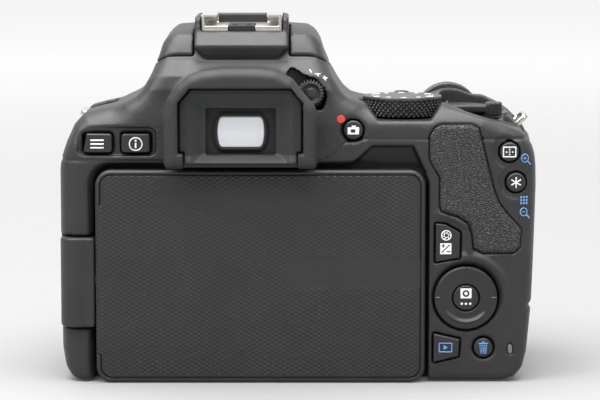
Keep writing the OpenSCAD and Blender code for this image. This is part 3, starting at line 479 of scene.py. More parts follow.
def outer(x, y, z):
    """The closed outer form, before anything is cut into it."""
    plan = rect(x, y, (LEFT + RIGHT) / 2 - 0.8, -2.3, (RIGHT - LEFT) / 2 - 0.2, 20.3, 6.5)
    profile = polygon(x, z, MAIN_OUTLINE)
    rise = unit((z - 54) / 14)
    main = smax(profile, plan, 2.2 + 6.5 * rise * rise * (3 - 2 * rise))
    grip = rect(x, y, 62.4, 16, 12.2, 20, 10)
    lid = (z - 62.4) * 0.93 + (y - 25) * 0.37
    grip = smax(smax(grip, meet(0.5 - z, lid), 5), profile + 0.4, 4)
    main = smin(main, grip, 5)
    crest = smax(disc(x, z, *MAIN_DIAL[::2], MAIN_DIAL_R - 1.2), slab(y, 0.6, MAIN_DIAL[1] - 3.3), 0.6)
    main = smin(main, crest, 1.6)
    hump = smax(polygon(x, z, HUMP_REAR), polygon(y, z, HUMP_SIDE), 4.5)
    hump = smax(hump, rect(x, y, 0, 5, 34, 29, 12), 3)
    main = smin(main, hump, 3.4)
    across = np.hypot(x, z - LENS_Z)
    boss = smax(across - 36.4 + (y - 12) * 0.11, meet(y - FLANGE_Y + 2.4, -y, 0.1 - z), 1.6)
    main = smin(main, boss, 3)
    tube = polygon(x, z, [(u * 0.94, (v - 66) * 0.94 + 66) for u, v in EYECUP_OUTLINE])
    main = smin(main, smax(tube, slab(y, -25.4, -10), 0.6), 1.2)
    sides = polygon(np.abs(x), z, [(-5, 78), (-5, 100), (11.9, 100), (11.9, 84.4), (9, 81), (9, 78)])
    pedestal = smax(sides, polygon(y, z, PEDESTAL_SIDE), 0.8)
    return smin(main, pedestal, 0.5)


def rear_relief(x, z):
    """How far the rear wall stands out (positive) or in, in the stretch of the keys and the thumb rest."""
    ridge = np.exp(-(polygon(x, z, AV_OUTLINE) - 2.3) ** 2 / 0.8) * unit((x - 47) / 5) * unit((z - 29) / 3)
    turn = np.arctan2(z - 21.4, x - 56.8)
    ring = np.exp(-(disc(x, z, 56.8, 21.4, 10.4)) ** 2 / 1.4) * unit(np.cos(turn - 0.9) * 1.6)
    swell = np.exp(-(meet(polygon(x, z, THUMB_OUTLINE), 0) / 2.2) ** 2) * 0.5
    return meet(ridge * 1.4, ring * 1.7) + swell


def holes(x, y, z):
    """Every seat, pit and opening of the covers, each with the rounding of its edge."""
    across = np.hypot(x, z - LENS_Z)
    yield meet(across - MOUNT_R - 0.25, 33.2 - y), 0.3
    yield meet(across - 31.3, -1 - y), 0.3
    yield smax(rect(x, z, 0, EYE_Z, 10.5, 8, 3), y + 12, 0.3), 0.5
    # rear: screen bay, hinge pocket, finger recess, keys
    flare = 1.9 * np.clip((-19.6 - y) / 3, 0, 1.2) ** 2
    slope = rect(x, z, 0, 24.5, 37.3 + flare, 30.6 + flare * 0.5, 5.5)
    yield smax(union(rect(x, z, 5, 24, 42.3, 30.6, 4.5), slope), y - RECESS_Y, 0.8), 0.5
    yield meet(slab(z, HINGE_LOW - GAP, HINGE_HIGH + GAP), x + 36, y - HINGE[1] - 4.6), 0.4
    yield smax(polygon(x, z, FINGER_OUTLINE), y - RECESS_Y, 1.6), 1
    yield smax(rect(x, z, -31.3, 61.1, 9.9, 3.6, 1.8), y - (WALL_Y + 1), 0.5), 0.6
    for at in (MENU, INFO):
        yield smax(rect(x, z, *at, 3.95, 2.75, 0.9), y - HOLE_FLOOR, 0.2), 0.3
    for at, r in ROUND_HOLES:
        wide = 1.5 if at[0] > 62 and at[1] > 45 else 0.7
        yield smax(disc(x, z, *at, r + wide), y - WALL_Y - 0.35, 0.6), 0.8
        yield meet(disc(x, z, *at, r + 0.3), y - HOLE_FLOOR), 0.25
    for outline in (AV_OUTLINE, PLAY_OUTLINE):
        yield meet(polygon(x, z, outline) - 0.3, y - HOLE_FLOOR), 0.3
    yield smax(polygon(x, z, THUMB_OUTLINE) - 0.25, y - WALL_Y - 0.5, 0.3), 0.3
    yield meet(capsule(x, z, *LAMP_LINE, 0.72), y + 21.5), 0.2
    # dioptre slot beside the eyepiece
    yield smax(polygon(x, z, DIOPTRE_SLOT), y + 17.6, 0.6), 0.3
    # top: dials, switch, keys, shoe
    drum = meet(disc(x, y, *MODE[:2], MODE_R + 0.7), 66.5 - z)
    funnel = [(34.6, 66.3), (47.6, 66.3), (50.2, 70), (52, 90), (30, 90), (31.9, 70)]
    yield union(drum, meet(polygon(x, z, funnel), y - MODE[1])), 0.8
    yield meet(disc(x, z, *MAIN_DIAL[::2], MAIN_DIAL_R + 0.6), np.abs(y - MAIN_DIAL[1]) - 3.2), 0.5
    plate = [(54.6, 2.8), (60.2, 2.8), (72, -5), (68, -9), (54.6, -9)]
    yield smax(union(disc(x, y, *SWITCH, 6.1), polygon(x, y, plate)), SWITCH_Z - 0.3 - z, 0.3), 0.5
    ledge = [(49.4, 72), (52.6, 69.6), (60.1, 67.1), (63, 66.2), (72, 63), (90, 60), (90, 95), (49.4, 95)]
    yield meet(polygon(x, z, ledge), y - SWITCH[1] + 5.6), 0.6
    beam = [(53.2, -7.2), (57.2, -14.6), (64.8, -14.6), (67, -8), (60, -3)]
    yield meet(polygon(x, y, beam), SWITCH_Z - 0.3 - z), 0.4
    swept = meet(np.abs(disc(x, y, *SWITCH, 9.4)) - 2.7, SWITCH_Z - 1.3 - z)
    yield meet(swept, SWITCH[0] + 0.6 - x, y - SWITCH[1] - 0.4), 0.4
    for at in TOP_KEYS:
        yield meet(disc(x, y, *at, 2.4), 66 - z), 0.3
    u, v, w = shutter_local(x, y, z)
    yield meet(np.hypot(u, v) - 5.6, -8 - w), 0.6
    floor_z = SHOE_LOW[2] - 0.1
    seat = meet(np.abs(x) - SHOE_HIGH[0] - 0.1, floor_z - z, slab(y, SHOE_LOW[1] - 1, SHOE_HIGH[1] + 0.1))
    yield union(seat, box3(x, y, z, (-10.5, -40, floor_z), (10.5, SHOE_HIGH[1], 200))), 0.25
    yield flash_region(x, y, z, 0.22), 0.25
    # sides and underside
    yield meet(polygon(x, y, BASE_OUTLINE), z - 2.2), 0.15
    for low, high in (
        ((-60, -2.1, 25.9), (-43.4, 12.35, 53.1)),  # socket cover
        ((71.8, -14.1, 15.9), (90, -4, 39.1)),  # port cover
        ((49.2, -6.3, -9), (70.3, 30.3, 2.8)),  # battery door
        ((52.6, -3.4, -9), (67.4, 30.4, 50)),  # battery
    ):
        yield box3(x, y, z, low, high), 0.3
    yield meet(disc(x, z, *RELEASE, 4.7), 11 - y), 0.4
    yield meet(disc(x, z, *FOCUS_LAMP, 1.7), 14 - y), 0.2
    # strap lugs
    lug_seat = meet(rect(x + z * 0.3, y, -17.5, 2, 5.6, 5.9, 1.5), 64.9 - z - (x + 38) * 0.32)
    yield lug_seat + (x > -30) * 9, 0.5
    across_lug, along_lug = lug_local(x, z)
    yield meet(rect(across_lug, y, 0, 2, 2.2, 5.7, 1.2), -1.6 - along_lug), 0.4


def rear_swell(x, y, z):
    """What rear_relief adds to the field of the outer form, near the rear wall only."""
    return np.where(np.abs(y + 22.6) < 3, rear_relief(x, z), 0) * 0.55


def carved(x, y, z):
    """The outer form with its relief, its openings and the hairline seams between the covers."""
    f = outer(x, y, z) - rear_swell(x, y, z)
    for hole, k in holes(x, y, z):
        f = cut(f, hole, k)
    return f + seam(x, y, z)


def lug_local(x, z):
    """Coordinates across and along the right strap lug, which leans out of the sloping shoulder."""
    turn = math.radians(47)
    dx, dz = x - LUG_RIGHT[0], z - LUG_RIGHT[1]
    return dx * math.cos(turn) - dz * math.sin(turn), dx * math.sin(turn) + dz * math.cos(turn)


def top_seam_z(x):
    """Height of the top cover's lower edge."""
    return 56.3 + unit((x - 20) / 7.5) * 5.4


def on_boss(x, y, z):
    return (np.hypot(x, z - LENS_Z) < 37.2) & (y > 10)


def seam(x, y, z):
    """A shallow groove along the parting lines, as an offset to the body's field."""
    top = np.abs(z - top_seam_z(x)) * 0.82 + np.where(on_boss(x, y, z), 9, 0)
    side = np.abs(y - SPLIT_Y) + np.where(z > top_seam_z(x) - 0.3, 9, 0)
    return 0.34 * np.exp(-(union(top, side) / 0.26) ** 2)


def shutter_local(x, y, z):
    """Coordinates along and across the sloping axis of the shutter release."""
    c, s = math.cos(SHUTTER_TILT), math.sin(SHUTTER_TILT)
    dy, dz = y - SHUTTER[1], z - SHUTTER[2]
    return x - SHUTTER[0], dy * c + dz * s, -dy * s + dz * c


MENU, INFO = (-36.1, 60.7), (-26.5, 60.7)
ROUND_HOLES = [
    ((middle(n)[0], middle(n)[2]), BUTTON_R)
    for n in ("live_view_button", "af_point_button", "ae_lock_button", "erase_button")
] + [((middle("cross_keys")[0], middle("cross_keys")[2]), 8.1)]
TOP_KEYS = [tuple(middle(n)[:2]) for n in ("iso_button", "disp_button")]

FINE = (
    ((24, RIGHT + 1, 0.34),),
    ((-26.5, -16.5, 0.32),),
    ((50, 75, 0.38),),
)
xs, ys, zs, gx, gy, gz = grid((LEFT - 1, -27, -0.5), (RIGHT + 1, FLANGE_Y, TOP + 0.5), 0.55, FINE)
body_values = np.broadcast_to(carved(gx, gy, gz), (len(xs), len(ys), len(zs))).astype(np.float32)
body_points, body_quads = surface(body_values, xs, ys, zs)
del body_values
centres = body_points[body_quads].mean(1)
cx, cy, cz = centres.T
round_boss = on_boss(cx, cy, cz)
is_top = (cz > top_seam_z(cx)) & ~round_boss
is_grip = (cx > 49.5) & (cy > 13.5) & (cz > 5) & (cz < 58.5) & (np.hypot(cx, cz - LENS_Z) > 38.5) & ~is_top
is_rear = (cy < SPLIT_Y) & ~is_top
is_boss = round_boss & ~is_rear
is_front = ~(is_top | is_rear | is_grip | is_boss)
for name, chosen, finish, slot_name, stands_for in (
    ("top_cover_shell", is_top, SHELL, "shell", ["top_cover"]),
    ("rear_cover_shell", is_rear, SHELL, "shell", ["rear_cover"]),
    ("front_cover_shell", is_front, SHELL, "shell", ["front_cover"]),
    ("mount_boss_shell", is_boss, SHELL, "shell", []),
    ("grip_cover_rubber", is_grip, GRAIN, "rubber", ["grip_rubber"]),
):
    dress(shown_mesh(name, body_points, body_quads[chosen]), BODY, finish, slot_name, stands_for)

# ---- pieces of the body form that move or are soft


def trimmed(region):
    """A field for a piece that fills region of the outer form."""
    return lambda x, y, z: smax(outer(x, y, z), region(x, y, z), 0.35)


def flash_field(x, y, z):
    shell = smax(outer(x, y, z), flash_region(x, y, z, 0), 0.4)
    hollow = meet(outer(x, y, z) + 1.7, box3(x, y, z, (-19, 10, 70), (19, 29.6, 87)))
    shell = cut(shell, meet(hollow, -meet(slab(y, 10, 12), 84.6 - z)), 0.2)
    return cut(shell, box3(x, y, z, (-15.2, 12, 70), (15.2, 60, 82.2)), 0.3)


part(
    "flash_cover", flash_field, (-24, -17, 77), (24, 34.5, TOP), 0.5, "flash", SHELL, "shell", ["flash_head"],
)
part(
    "jack_cover_flap", trimmed(lambda x, y, z: box3(x, y, z, (-45.9, -1.75, 26.25), (-44.4, 11.35, 52.75))),
    (-47, -2.2, 25.8), (-44, 11.8, 53.2), 0.3, "jack_cover", SOFT, "soft_rubber", ["jack_cover"],
)
part(
    "port_cover_flap", trimmed(lambda x, y, z: box3(x, y, z, (72.15, -13.75, 16.25), (90, -4.35, 38.75))),
    (71.9, -14.2, 15.8), (77, -4, 39.2), 0.3, "port_cover", SOFT, "soft_rubber", ["port_cover"],
)


def battery_lid_field(x, y, z):
    """The battery door: a plate inside the body's outline, with a round hinge along its rear edge."""
    plate = meet(rect(x, y, 59.75, 12.1, 10.2, 16.3, 1.2), polygon(x, z, MAIN_OUTLINE) - 0.05)
    hinge = meet(np.hypot(y + 4.2, z - 1.75) - 1.5, np.abs(x - 59.75) - 8.6)
    return smin(smax(plate, slab(z, 0.15, 2.1), 0.4), hinge, 0.3)


part(
    "battery_lid", battery_lid_field, (49, -6, -0.1), (70.6, 29, 3.6), 0.4,
    "battery_door", SHELL, "shell", ["battery_door"],
)


def thumb_edge(x, z):
    return polygon(x, z, THUMB_OUTLINE)


def thumb_top(x, z):
    """Depth (y) of the thumb rest's face, rounded down towards its edge."""
    return WALL_Y - 0.55 + 0.5 * unit(1 + thumb_edge(x, z) / 1.2) ** 2


part(
    "thumb_rest", lambda x, y, z: meet(thumb_edge(x, z), thumb_top(x, z) + 0.2 - y, y - WALL_Y - 0.6),
    (47, WALL_Y - 0.8, 32), (71.2, WALL_Y + 0.8, 66), 0.3, BODY, GRAIN, "rubber", ["thumb_rubber"],
    fine=((), ((-30, -10, 0.15),), ()),
)

CUP_INNER = mirrored([(-15.6, 50), (-15.6, 71.4), (-12.6, 75.1)])
CUP_ROUND = 3
CUP_LEGS = mirrored([(-14.3, 50), (-14.3, 58.8), (-19, 58.8), (-19, 100)])


def cup_edge(x, z):
    """The cup's outline with its corners rounded: a smaller outline grown by the rounding."""
    core = [(u * (1 - CUP_ROUND / 19.2), 64 + (v - 64) * (1 - CUP_ROUND / 15.9)) for u, v in EYECUP_OUTLINE]
    return meet(polygon(x, z, core) - CUP_ROUND, 55 - z)


def eyecup_field(x, y, z):
    rim = unit((EYE_Y + 2.4 - y) / 2.4)
    body = smax(cup_edge(x, z) + 1.5 * rim ** 2, slab(y, EYE_Y, -25.5), 0.9)
    opening = meet(polygon(x, z, CUP_INNER), polygon(x, z, CUP_LEGS))
    body = cut(body, meet(opening, y + 27.4), 0.5)
    body = cut(body, meet(rect(x, z, 0, 64, 9.2, 6.3, 0.7), y + 20), 0.3)
    return cut(body, meet(disc(x, z, DIOPTRE[0], DIOPTRE[2], 3.8), -27.8 - y), 0.3)


def eyecup_frame_field(x, y, z):
    """The plastic frame inside the cup: a flat border, then four slopes down to the window."""
    flat = meet(polygon(x, z, CUP_INNER) + 0.25, polygon(x, z, CUP_LEGS) + 0.25)
    slope = np.clip(-rect(x, z, 0, 64.4, 12.6, 9, 0.8), 0, 3) * 0.62
    lower = 0.9 * unit((58.4 - z) / 2.2)
    body = smax(flat, slab(y, -29.4 + slope - lower, -26.2), 0.3)
    body = meet(body, 56.2 - z)
    return cut(body, meet(rect(x, z, 0, 64.15, 8.7, 5.8, 0.5), y + 20), 0.3)


part(
    "eyecup_moulding", eyecup_field, (-19.5, EYE_Y - 0.3, 54.6), (19.5, -25.2, 80.6), 0.3,
    BODY, SOFT, "soft_rubber", ["eyecup"],
)
part(
    "eyecup_frame", eyecup_frame_field, (-16, -30.8, 55.8), (16, -26, 74.8), 0.28,
    BODY, FRAME, "inner_black",
)


def pane(x, z, grow):
    """Outline of the bright window, with bulging sides and cut corners."""
    wide, high = np.abs(x), np.abs(z - EYE_Z)
    sides = wide - 5.85 - grow + 0.045 * (z - EYE_Z) ** 2
    return smax(meet(sides, high - 3.75 - grow), wide + high - 8.7 - grow * 1.4, 0.5)


def eyepiece_field(x, y, z):
    bulge = 0.5 * np.hypot(x / 6.4, (z - EYE_Z) / 4.6) ** 2
    return smax(pane(x, z, 0), slab(y, -26.4 + bulge, -22.5), 0.3)


# the glass's glow is painted light, from its emission
part(
    "eyepiece_glass", eyepiece_field, (-7, -28, 59), (7, -22, 68.5), 0.2,
    BODY, EYEPIECE_GLOW, "optic", ["eyepiece_lens"],
)
part(
    "eyepiece_surround", lambda x, y, z: cut(
        smax(rect(x, z, 0, EYE_Z, 9.4, 6.6, 1), slab(y, -25.6 - 0.9 * unit(1.4 - pane(x, z, 0)), -22), 0.3),
        meet(pane(x, z, 0.15), y + 20), 0.3),
    (-9.8, -27, 56.8), (9.8, -21.8, 71.8), 0.25, BODY, PIT, "inner_black",
)


def creases(u, v, pitch):
    """Height from 0 to 1 of leather: rounded cells of about the pitch, with creases between them."""
    u, v = u / pitch, v / pitch * 1.25
    iu, iv = np.floor(u), np.floor(v)
    near, next_near = np.full(u.shape, 9.0), np.full(u.shape, 9.0)
    for i in (-1, 0, 1):
        for j in (-1, 0, 1):
            a, b = iu + i, iv + j
            spot = np.sin(a * 127.1 + b * 311.7) * 43758.5453
            other = np.sin(a * 269.5 + b * 183.3) * 24634.6345
            far = np.hypot(a + spot - np.floor(spot) - u, b + other - np.floor(other) - v)
            next_near = union(next_near, meet(near, far))
            near = union(near, far)
    return unit((next_near - near) * 2.6)


def relief(name, low, high, steps, depth, outline, body, finish, slot_name):
    """A rear-facing skin over outline, whose depth (y) at each point of a grid is depth(x, z)."""
    xs = np.arange(low[0], high[0] + steps[0], steps[0])
    zs = np.arange(low[1], high[1] + steps[1], steps[1])
    x, z = np.meshgrid(xs, zs, indexing="ij")
    inside = outline(x, z)
    y = depth(x, z) + unit(inside + 0.12) * 2
    keep = inside < 0.2
    number = np.arange(x.size).reshape(x.shape)
    ring = np.stack([number[:-1, :-1], number[1:, :-1], number[1:, 1:], number[:-1, 1:]], -1)
    whole = keep[:-1, :-1] & keep[1:, :-1] & keep[1:, 1:] & keep[:-1, 1:]
    points = np.stack([x, y, z], -1).reshape(-1, 3)
    return dress(shown_mesh(name, points, ring[whole]), body, finish, slot_name)


relief(
    "thumb_rest_leather", (47, 32), (71, 66), (0.14 * COARSE, 0.14 * COARSE),
    lambda x, z: thumb_top(x, z) - 0.11 * creases(x, z, 0.85) * unit(-thumb_edge(x, z) * 1.5),
    thumb_edge, BODY, GRAIN, "rubber",
)

# ---- folding screen

WIDE, HIGH = 1.96, 1.10
BAND = (29, 27.8, 17.2, 3.3)


def weave(x, z):
    """The raised diamond pattern of the screen's back, from 0 to 1."""
    return unit(1.7 * union(1 - zigzag(x / WIDE + z / HIGH), 1 - zigzag(x / WIDE - z / HIGH)))


def screen_edge(x, z):
    centre, half = (SCREEN_LOW + SCREEN_HIGH) / 2, (SCREEN_HIGH - SCREEN_LOW) / 2
    return rect(x, z, centre[0], centre[2], half[0], half[2], 4)


def panel_edge(x, z):
    """Outline of the patterned panel: inside the rim, and out to the edge beside the hinge."""
    beside = rect(x, z, SCREEN_LOW[0] + 2.2, 26, 2, 19.2, 0.3)
    return union(screen_edge(x, z) + 1.05, beside)


def screen_field(x, y, z):
    edge = screen_edge(x, z)
    panel = panel_edge(x, z)
    slope = 0.5 * unit(1 + edge) ** 2
    body = smax(edge, meet(REAR_Y + 0.02 + slope - y, y - SCREEN_FRONT + 1.6), 0.35)
    return cut(body, meet(panel, y - REAR_Y - 0.75), 0.1)


part(
    "screen_back", screen_field, SCREEN_LOW - 0.4, SCREEN_HIGH + 0.4, 0.45,
    "screen", SCREEN_BACK, "shell", ["screen_shell"], fine=((), ((-25, -22.6, 0.12),), ()),
)


def panel_depth(x, z):
    plain = unit(rect(x, z, *BAND, 0.6) * 1.2)
    border = unit(-panel_edge(x, z) * 3 - 0.6)
    return REAR_Y + 0.50 - 0.30 * weave(x, z) * plain * border - 0.06 * (1 - plain)


relief(
    "screen_pattern", (SCREEN_LOW[0], SCREEN_LOW[2]), (SCREEN_HIGH[0], SCREEN_HIGH[2]),
    (WIDE / 6 * COARSE, HIGH / 4 * COARSE), panel_depth, panel_edge, "screen", SCREEN_BACK, "shell",
)
part(
    "hinge_knuckle", lambda x, y, z: smax(
        union(disc(x, y, *HINGE, 4.3), rect(x, y, HINGE[0] + 2.2, HINGE[1] - 0.95, 2.3, 2.95, 0.8)),
        slab(z, HINGE_LOW, HINGE_HIGH), 0.8),
    (HINGE[0] - 4.5, HINGE[1] - 4.5, HINGE_LOW - 0.3), (HINGE[0] + 4.8, HINGE[1] + 4.5, HINGE_HIGH + 0.3),
    0.3, "screen", SHELL, "shell", ["hinge_block"],
)

# ---- dials, switch and keys


def control(name, field, low, high, step, body, finish=KEY, turn=None):
    """A dial, lever or key. Its body has the name of the CAD node that it stands for."""
    part(name, field, low, high, step, body, finish, "key", [body], turn=turn)


def mode_field(x, y, z):
    r, a = polar(x - MODE[0], y - MODE[1])
    z0 = z - (MODE_TOP - 5)
    taper = MODE_R - 0.1 - 0.24 * np.clip(4.4 - z0, 0, 5)
    turns = a * 42 / math.pi / 2
    knurl = 0.6 * unit(union(1 - zigzag(turns + z0 * 0.72), 1 - zigzag(turns - z0 * 0.72)) * 1.8)
    drum = smax(r - taper + 0.6 - knurl * unit((4.35 - z0) * 4), slab(z0, 0, 4.6), 0.2)
    crown = smax(r - MODE_R + 0.15, slab(z0, 4.15, 5), 0.3)
    return smin(drum, crown, 0.1)


control(
    "mode_dial_drum", mode_field, (MODE[0] - MODE_R - 0.3, MODE[1] - MODE_R - 0.3, MODE_TOP - 5.3),
    (MODE[0] + MODE_R + 0.3, MODE[1] + MODE_R + 0.3, MODE_TOP + 0.2), 0.2, "mode_dial", KNURL_SHEEN,
)


def main_dial_field(x, y, z):
    r, a = polar(x - MAIN_DIAL[0], z - MAIN_DIAL[2])
    tooth = 0.35 * unit(np.abs((a * 48 / math.pi / 2) % 1 - 0.5) * 3.2 - 0.35)
    rib = tooth * unit((2.5 - np.abs(y - MAIN_DIAL[1])) * 4)
    return smax(r - MAIN_DIAL_R + rib, np.abs(y - MAIN_DIAL[1]) - 2.8, 0.5)


dial_low, dial_high = corners("main_dial")
control("main_dial_wheel", main_dial_field, dial_low - 0.3, dial_high + 0.3, 0.25, "main_dial", KNURL_SHEEN)


def switch_field(x, y, z):
    dx, dy = x - SWITCH[0], y - SWITCH[1]
    lever = smin(disc(dx, dy, 0, 0, 5.5), polygon(dx, dy, [(0, 5), (8.2, -1.6), (8.2, -6.2), (0, -5.4)]), 1.5)
    plate = smax(lever, slab(z, SWITCH_Z, SWITCH_Z + 1.9), 0.6)
    ribs = 0.22 * np.clip(np.sin(np.arctan2(dy + 4.6, dx - 8.2) * 12) * 2, -1, 1)
    knob = smax(np.hypot(dx - 8.2, dy + 4.6) - 2.05 - ribs, slab(z, SWITCH_Z - 0.95, SWITCH_Z + 2.75), 0.7)
    return smin(plate, knob, 0.6)


control(
    "power_switch_lever", switch_field, (SWITCH[0] - 6, SWITCH[1] - 7.4, SWITCH_Z - 1.3),
    (SWITCH[0] + 10.9, SWITCH[1] + 6, SWITCH_Z + 3.1), 0.2, "power_switch",
)


def shutter_field(x, y, z):
    """The shutter button about its own axis, with a shallow dish in its top."""
    r = np.hypot(x, y)
    return smax(r - 5.1, meet(-3 - z, z - 1.9 + 0.35 * unit(1 - r / 5)), 1)


shutter_place = Matrix.Translation(Vector(SHUTTER)) @ Matrix.Rotation(SHUTTER_TILT, 4, "X")
control(
    "shutter_release", shutter_field, (-5.5, -5.5, -3.3), (5.5, 5.5, 2.3), 0.22, "shutter_button",
    turn=shutter_place,
)


def top_key(node):
    at = middle(node)

    def field(x, y, z):
        top = 71.35 - 0.06 * disc(x, y, at[0], at[1], 0) ** 2
        return smax(disc(x, y, at[0], at[1], 2.05), slab(z, 68.2, top), 0.5)

    low, high = (at[0] - 2.5, at[1] - 2.5, 68), (at[0] + 2.5, at[1] + 2.5, 72.4)
    control(node + "_cap", field, low, high, 0.18, node)


top_key("iso_button")
top_key("disp_button")


def round_key(node, r, k=0.55):
    """A round rear key with a softly rounded, slightly domed face."""
    at, face = middle(node), corners(node)[0][1]

    def field(x, y, z):
        dome = face + 0.25 * (np.hypot(x - at[0], z - at[2]) / r) ** 2
        return smax(disc(x, z, at[0], at[2], r), slab(y, dome, KEY_FOOT), k)

    reach = r + 0.3
    low, high = (at[0] - reach, face - 0.3, at[2] - reach), (at[0] + reach, -19.7, at[2] + reach)
    control(node + "_cap", field, low, high, 0.17, node)


for node in ("live_view_button", "af_point_button", "ae_lock_button", "erase_button"):
    round_key(node, BUTTON_R - 0.05)
round_key("set_button", 3.3, 0.5)


def shaped_key(node, flat, face):
    low, high = corners(node)
    control(
        node + "_cap", lambda x, y, z: smax(flat(x, z), slab(y, face, KEY_FOOT), 0.6),
        (low[0] - 0.2, face - 0.3, low[2] - 0.9), (high[0] + 0.5, -19.7, high[2] + 0.2), 0.18, node,
    )


def soft_rect(x, z, centre):
    """The outline of the menu and info keys."""
    return rect(x, z, *centre, 3.65, 2.4, 0.9)


menu_edge = lambda x, z: meet(soft_rect(x, z, MENU), -39.3 - x + (z - 60.7) * 0.22)
shaped_key("menu_button", menu_edge, WALL_Y - 0.2)
shaped_key("info_button", lambda x, z: soft_rect(x, z, INFO), WALL_Y - 0.2)
shaped_key("av_button", lambda x, z: polygon(x, z, AV_OUTLINE), WALL_Y - 0.6)
shaped_key("playback_button", lambda x, z: polygon(x, z, PLAY_OUTLINE), WALL_Y - 0.6)


def cross_field(x, y, z):
    at = middle("cross_keys")
    dx, dz = x - at[0], z - at[2]
    r = np.hypot(dx, dz)
    hollow = 0.45 * np.exp(-((r - 4.6) / 1.5) ** 2)
    below = unit((-dz - 0.6 * np.abs(dx)) / 2.5)
    arc = 0.45 * np.exp(-((r - 6.1) / 0.42) ** 2) * below
    tick = 0.30 * unit((0.22 - union(np.abs(dx), np.abs(dz))) * 8) * unit((r - 6.3) * 3)
    face = WALL_Y - 0.75 + hollow - arc - tick + 0.30 * unit((r - 6.9) / 1.2) ** 2
    ring = smax(r - 8.05, meet(face - y, y + 20), 0.5)
    return cut(ring, meet(r - 3.55, y + 10), 0.4)


pad_low, pad_high = corners("cross_keys")
control("cross_pad", cross_field, pad_low + (0.5, -0.3, 0.5), pad_high - (0.5, 0.2, 0.5), 0.17, "cross_keys")


def dioptre_field(x, y, z):
    r, a = polar(x - DIOPTRE[0], z - DIOPTRE[2])
    knurl = 0.6 * unit(np.abs((a * 24 / math.pi / 2) % 1 - 0.5) * 3.4 - 0.4)
    face = -23.6 + 0.8 * unit((2.35 - r) * 3) - 0.35 * unit((1.5 - r) * 2) + 0.5 * unit(r - 2.9) ** 2
    return smax(r - 3.4 + 0.6 - knurl * unit((r - 2.2) * 3), slab(y, face, -16.2), 0.25)


control(
    "dioptre_wheel", dioptre_field, (DIOPTRE[0] - 3.7, -24, DIOPTRE[2] - 3.7),
    (DIOPTRE[0] + 3.7, -16, DIOPTRE[2] + 3.7), 0.14, "dioptre_knob", KNURL_SHEEN,
)


def release_field(x, y, z):
    face = 21.2 - 0.03 * disc(x, z, *RELEASE, 0) ** 2
    return smax(disc(x, z, *RELEASE, 4.3), slab(y, 14.6, face), 0.9)


control("lens_release_cap", release_field, (-42, 12.4, 25.4), (-32.8, 21.5, 34.6), 0.3, "lens_release_button")

contact_low, contact_high = corners("contact_block")
contact_r = LENS_Z - contact_low[2] - 2
contact_y = contact_high[1]
pin_turns = np.radians(np.arange(-20, 21, 5))
pin_spots = [(contact_r * math.sin(a), LENS_Z - contact_r * math.cos(a)) for a in pin_turns]
pins = lambda x, z: union(*[disc(x, z, *spot, 0.62) for spot in pin_spots])
part(
    "contact_pins", lambda x, y, z: smax(pins(x, z), slab(y, contact_y - 0.6, contact_y + 0.45), 0.4),
    (contact_low[0] - 0.5, contact_y - 0.8, contact_low[2]),
    (contact_high[0] + 0.5, contact_y + 0.7, contact_high[2] + 1), 0.16, BODY, GOLD, "steel",
)
lamp_front = corners("lamp_windows")[1][1]
part(
    "lamp_window_rear",
    lambda x, y, z: smax(capsule(x, z, *LAMP_LINE, 0.58), slab(y, WALL_Y - 0.05, -21.4), 0.3),
    (67, WALL_Y - 0.3, 6.8), (69, -21.2, 10), 0.1, BODY, LAMP, "optic", ["lamp_windows"],
)
part(
    "lamp_window_front",
    lambda x, y, z: smax(disc(x, z, *FOCUS_LAMP, 1.5), slab(y, lamp_front - 2, lamp_front), 0.5),
    (48.7, lamp_front - 2.2, 52.2), (52.3, lamp_front + 0.2, 55.8), 0.15, BODY, LAMP, "optic",
)

# ---- printed marks, as thin raised icons

MARK_STEP = 0.075 * COARSE
MARK_SINK = 0.15


def mark(name, flat, centre, half, face, body, ink, slot_name, axis="y"):
    """A printed icon: a flat drawing lifted a little off the face it is on."""
    lift = 0.05
    u, v = centre
    if axis == "y":
        low, high = (u - half, face - lift, v - half), (u + half, face + MARK_SINK, v + half)
        field = lambda x, y, z: meet(flat(x - u, z - v), slab(y, face - lift, face + MARK_SINK))
    else:
        low, high = (u - half, v - half, face - MARK_SINK), (u + half, v + half, face + lift)
        field = lambda x, y, z: meet(flat(x - u, y - v), slab(z, face - MARK_SINK, face + lift))
    part(name, field, low, high, MARK_STEP, body, ink, slot_name)


def on_body(name, flat, centre, half, ink, slot_name="shell", lift=0.06):
    """A printed icon on the body's rear, laid along the surface at its middle."""
    ys = np.linspace(EYE_Y, 0, 1300)

    def depth(u, v):
        field = outer(np.full(1, u), ys, np.full(1, v)) - rear_swell(u, ys, v)
        return ys[np.argmax(field < 0)]

    at = Vector((centre[0], depth(*centre), centre[1]))
    rise = (depth(centre[0], centre[1] + 0.6) - depth(centre[0], centre[1] - 0.6)) / 1.2
    run = (depth(centre[0] + 0.6, centre[1]) - depth(centre[0] - 0.6, centre[1])) / 1.2
    across, up = Vector((1, run, 0)).normalized(), Vector((0, rise, 1)).normalized()
    inward = up.cross(across).normalized()
    up = across.cross(inward)
    turn = Matrix.Translation(at) @ Matrix((across, inward, up)).transposed().to_4x4()
    field = lambda x, y, z: meet(flat(x, z), slab(y, -lift, MARK_SINK))
    low, high = (-half, -lift, -half), (half, MARK_SINK, half)
    part(name, field, low, high, MARK_STEP, BODY, ink, slot_name, turn=turn)


def ring(u, v, r, w):
    return np.abs(np.hypot(u, v) - r) - w


def circle_of(count, radius, icon, u, v):
    """The same small icon repeated round a circle."""
    turns = [2 * math.pi * i / count for i in range(count)]
    return union(*[icon(u - radius * math.cos(a), v - radius * math.sin(a), a) for a in turns])


def bars(u, v, *rows):
    """Rectangles, each from its centre and half sizes."""
    return union(*[rect(u, v, *row) for row in rows])


def list_icon(u, v):
    return bars(u, v, *[(0, d, 1.7, 0.21) for d in (-0.95, 0, 0.95)])


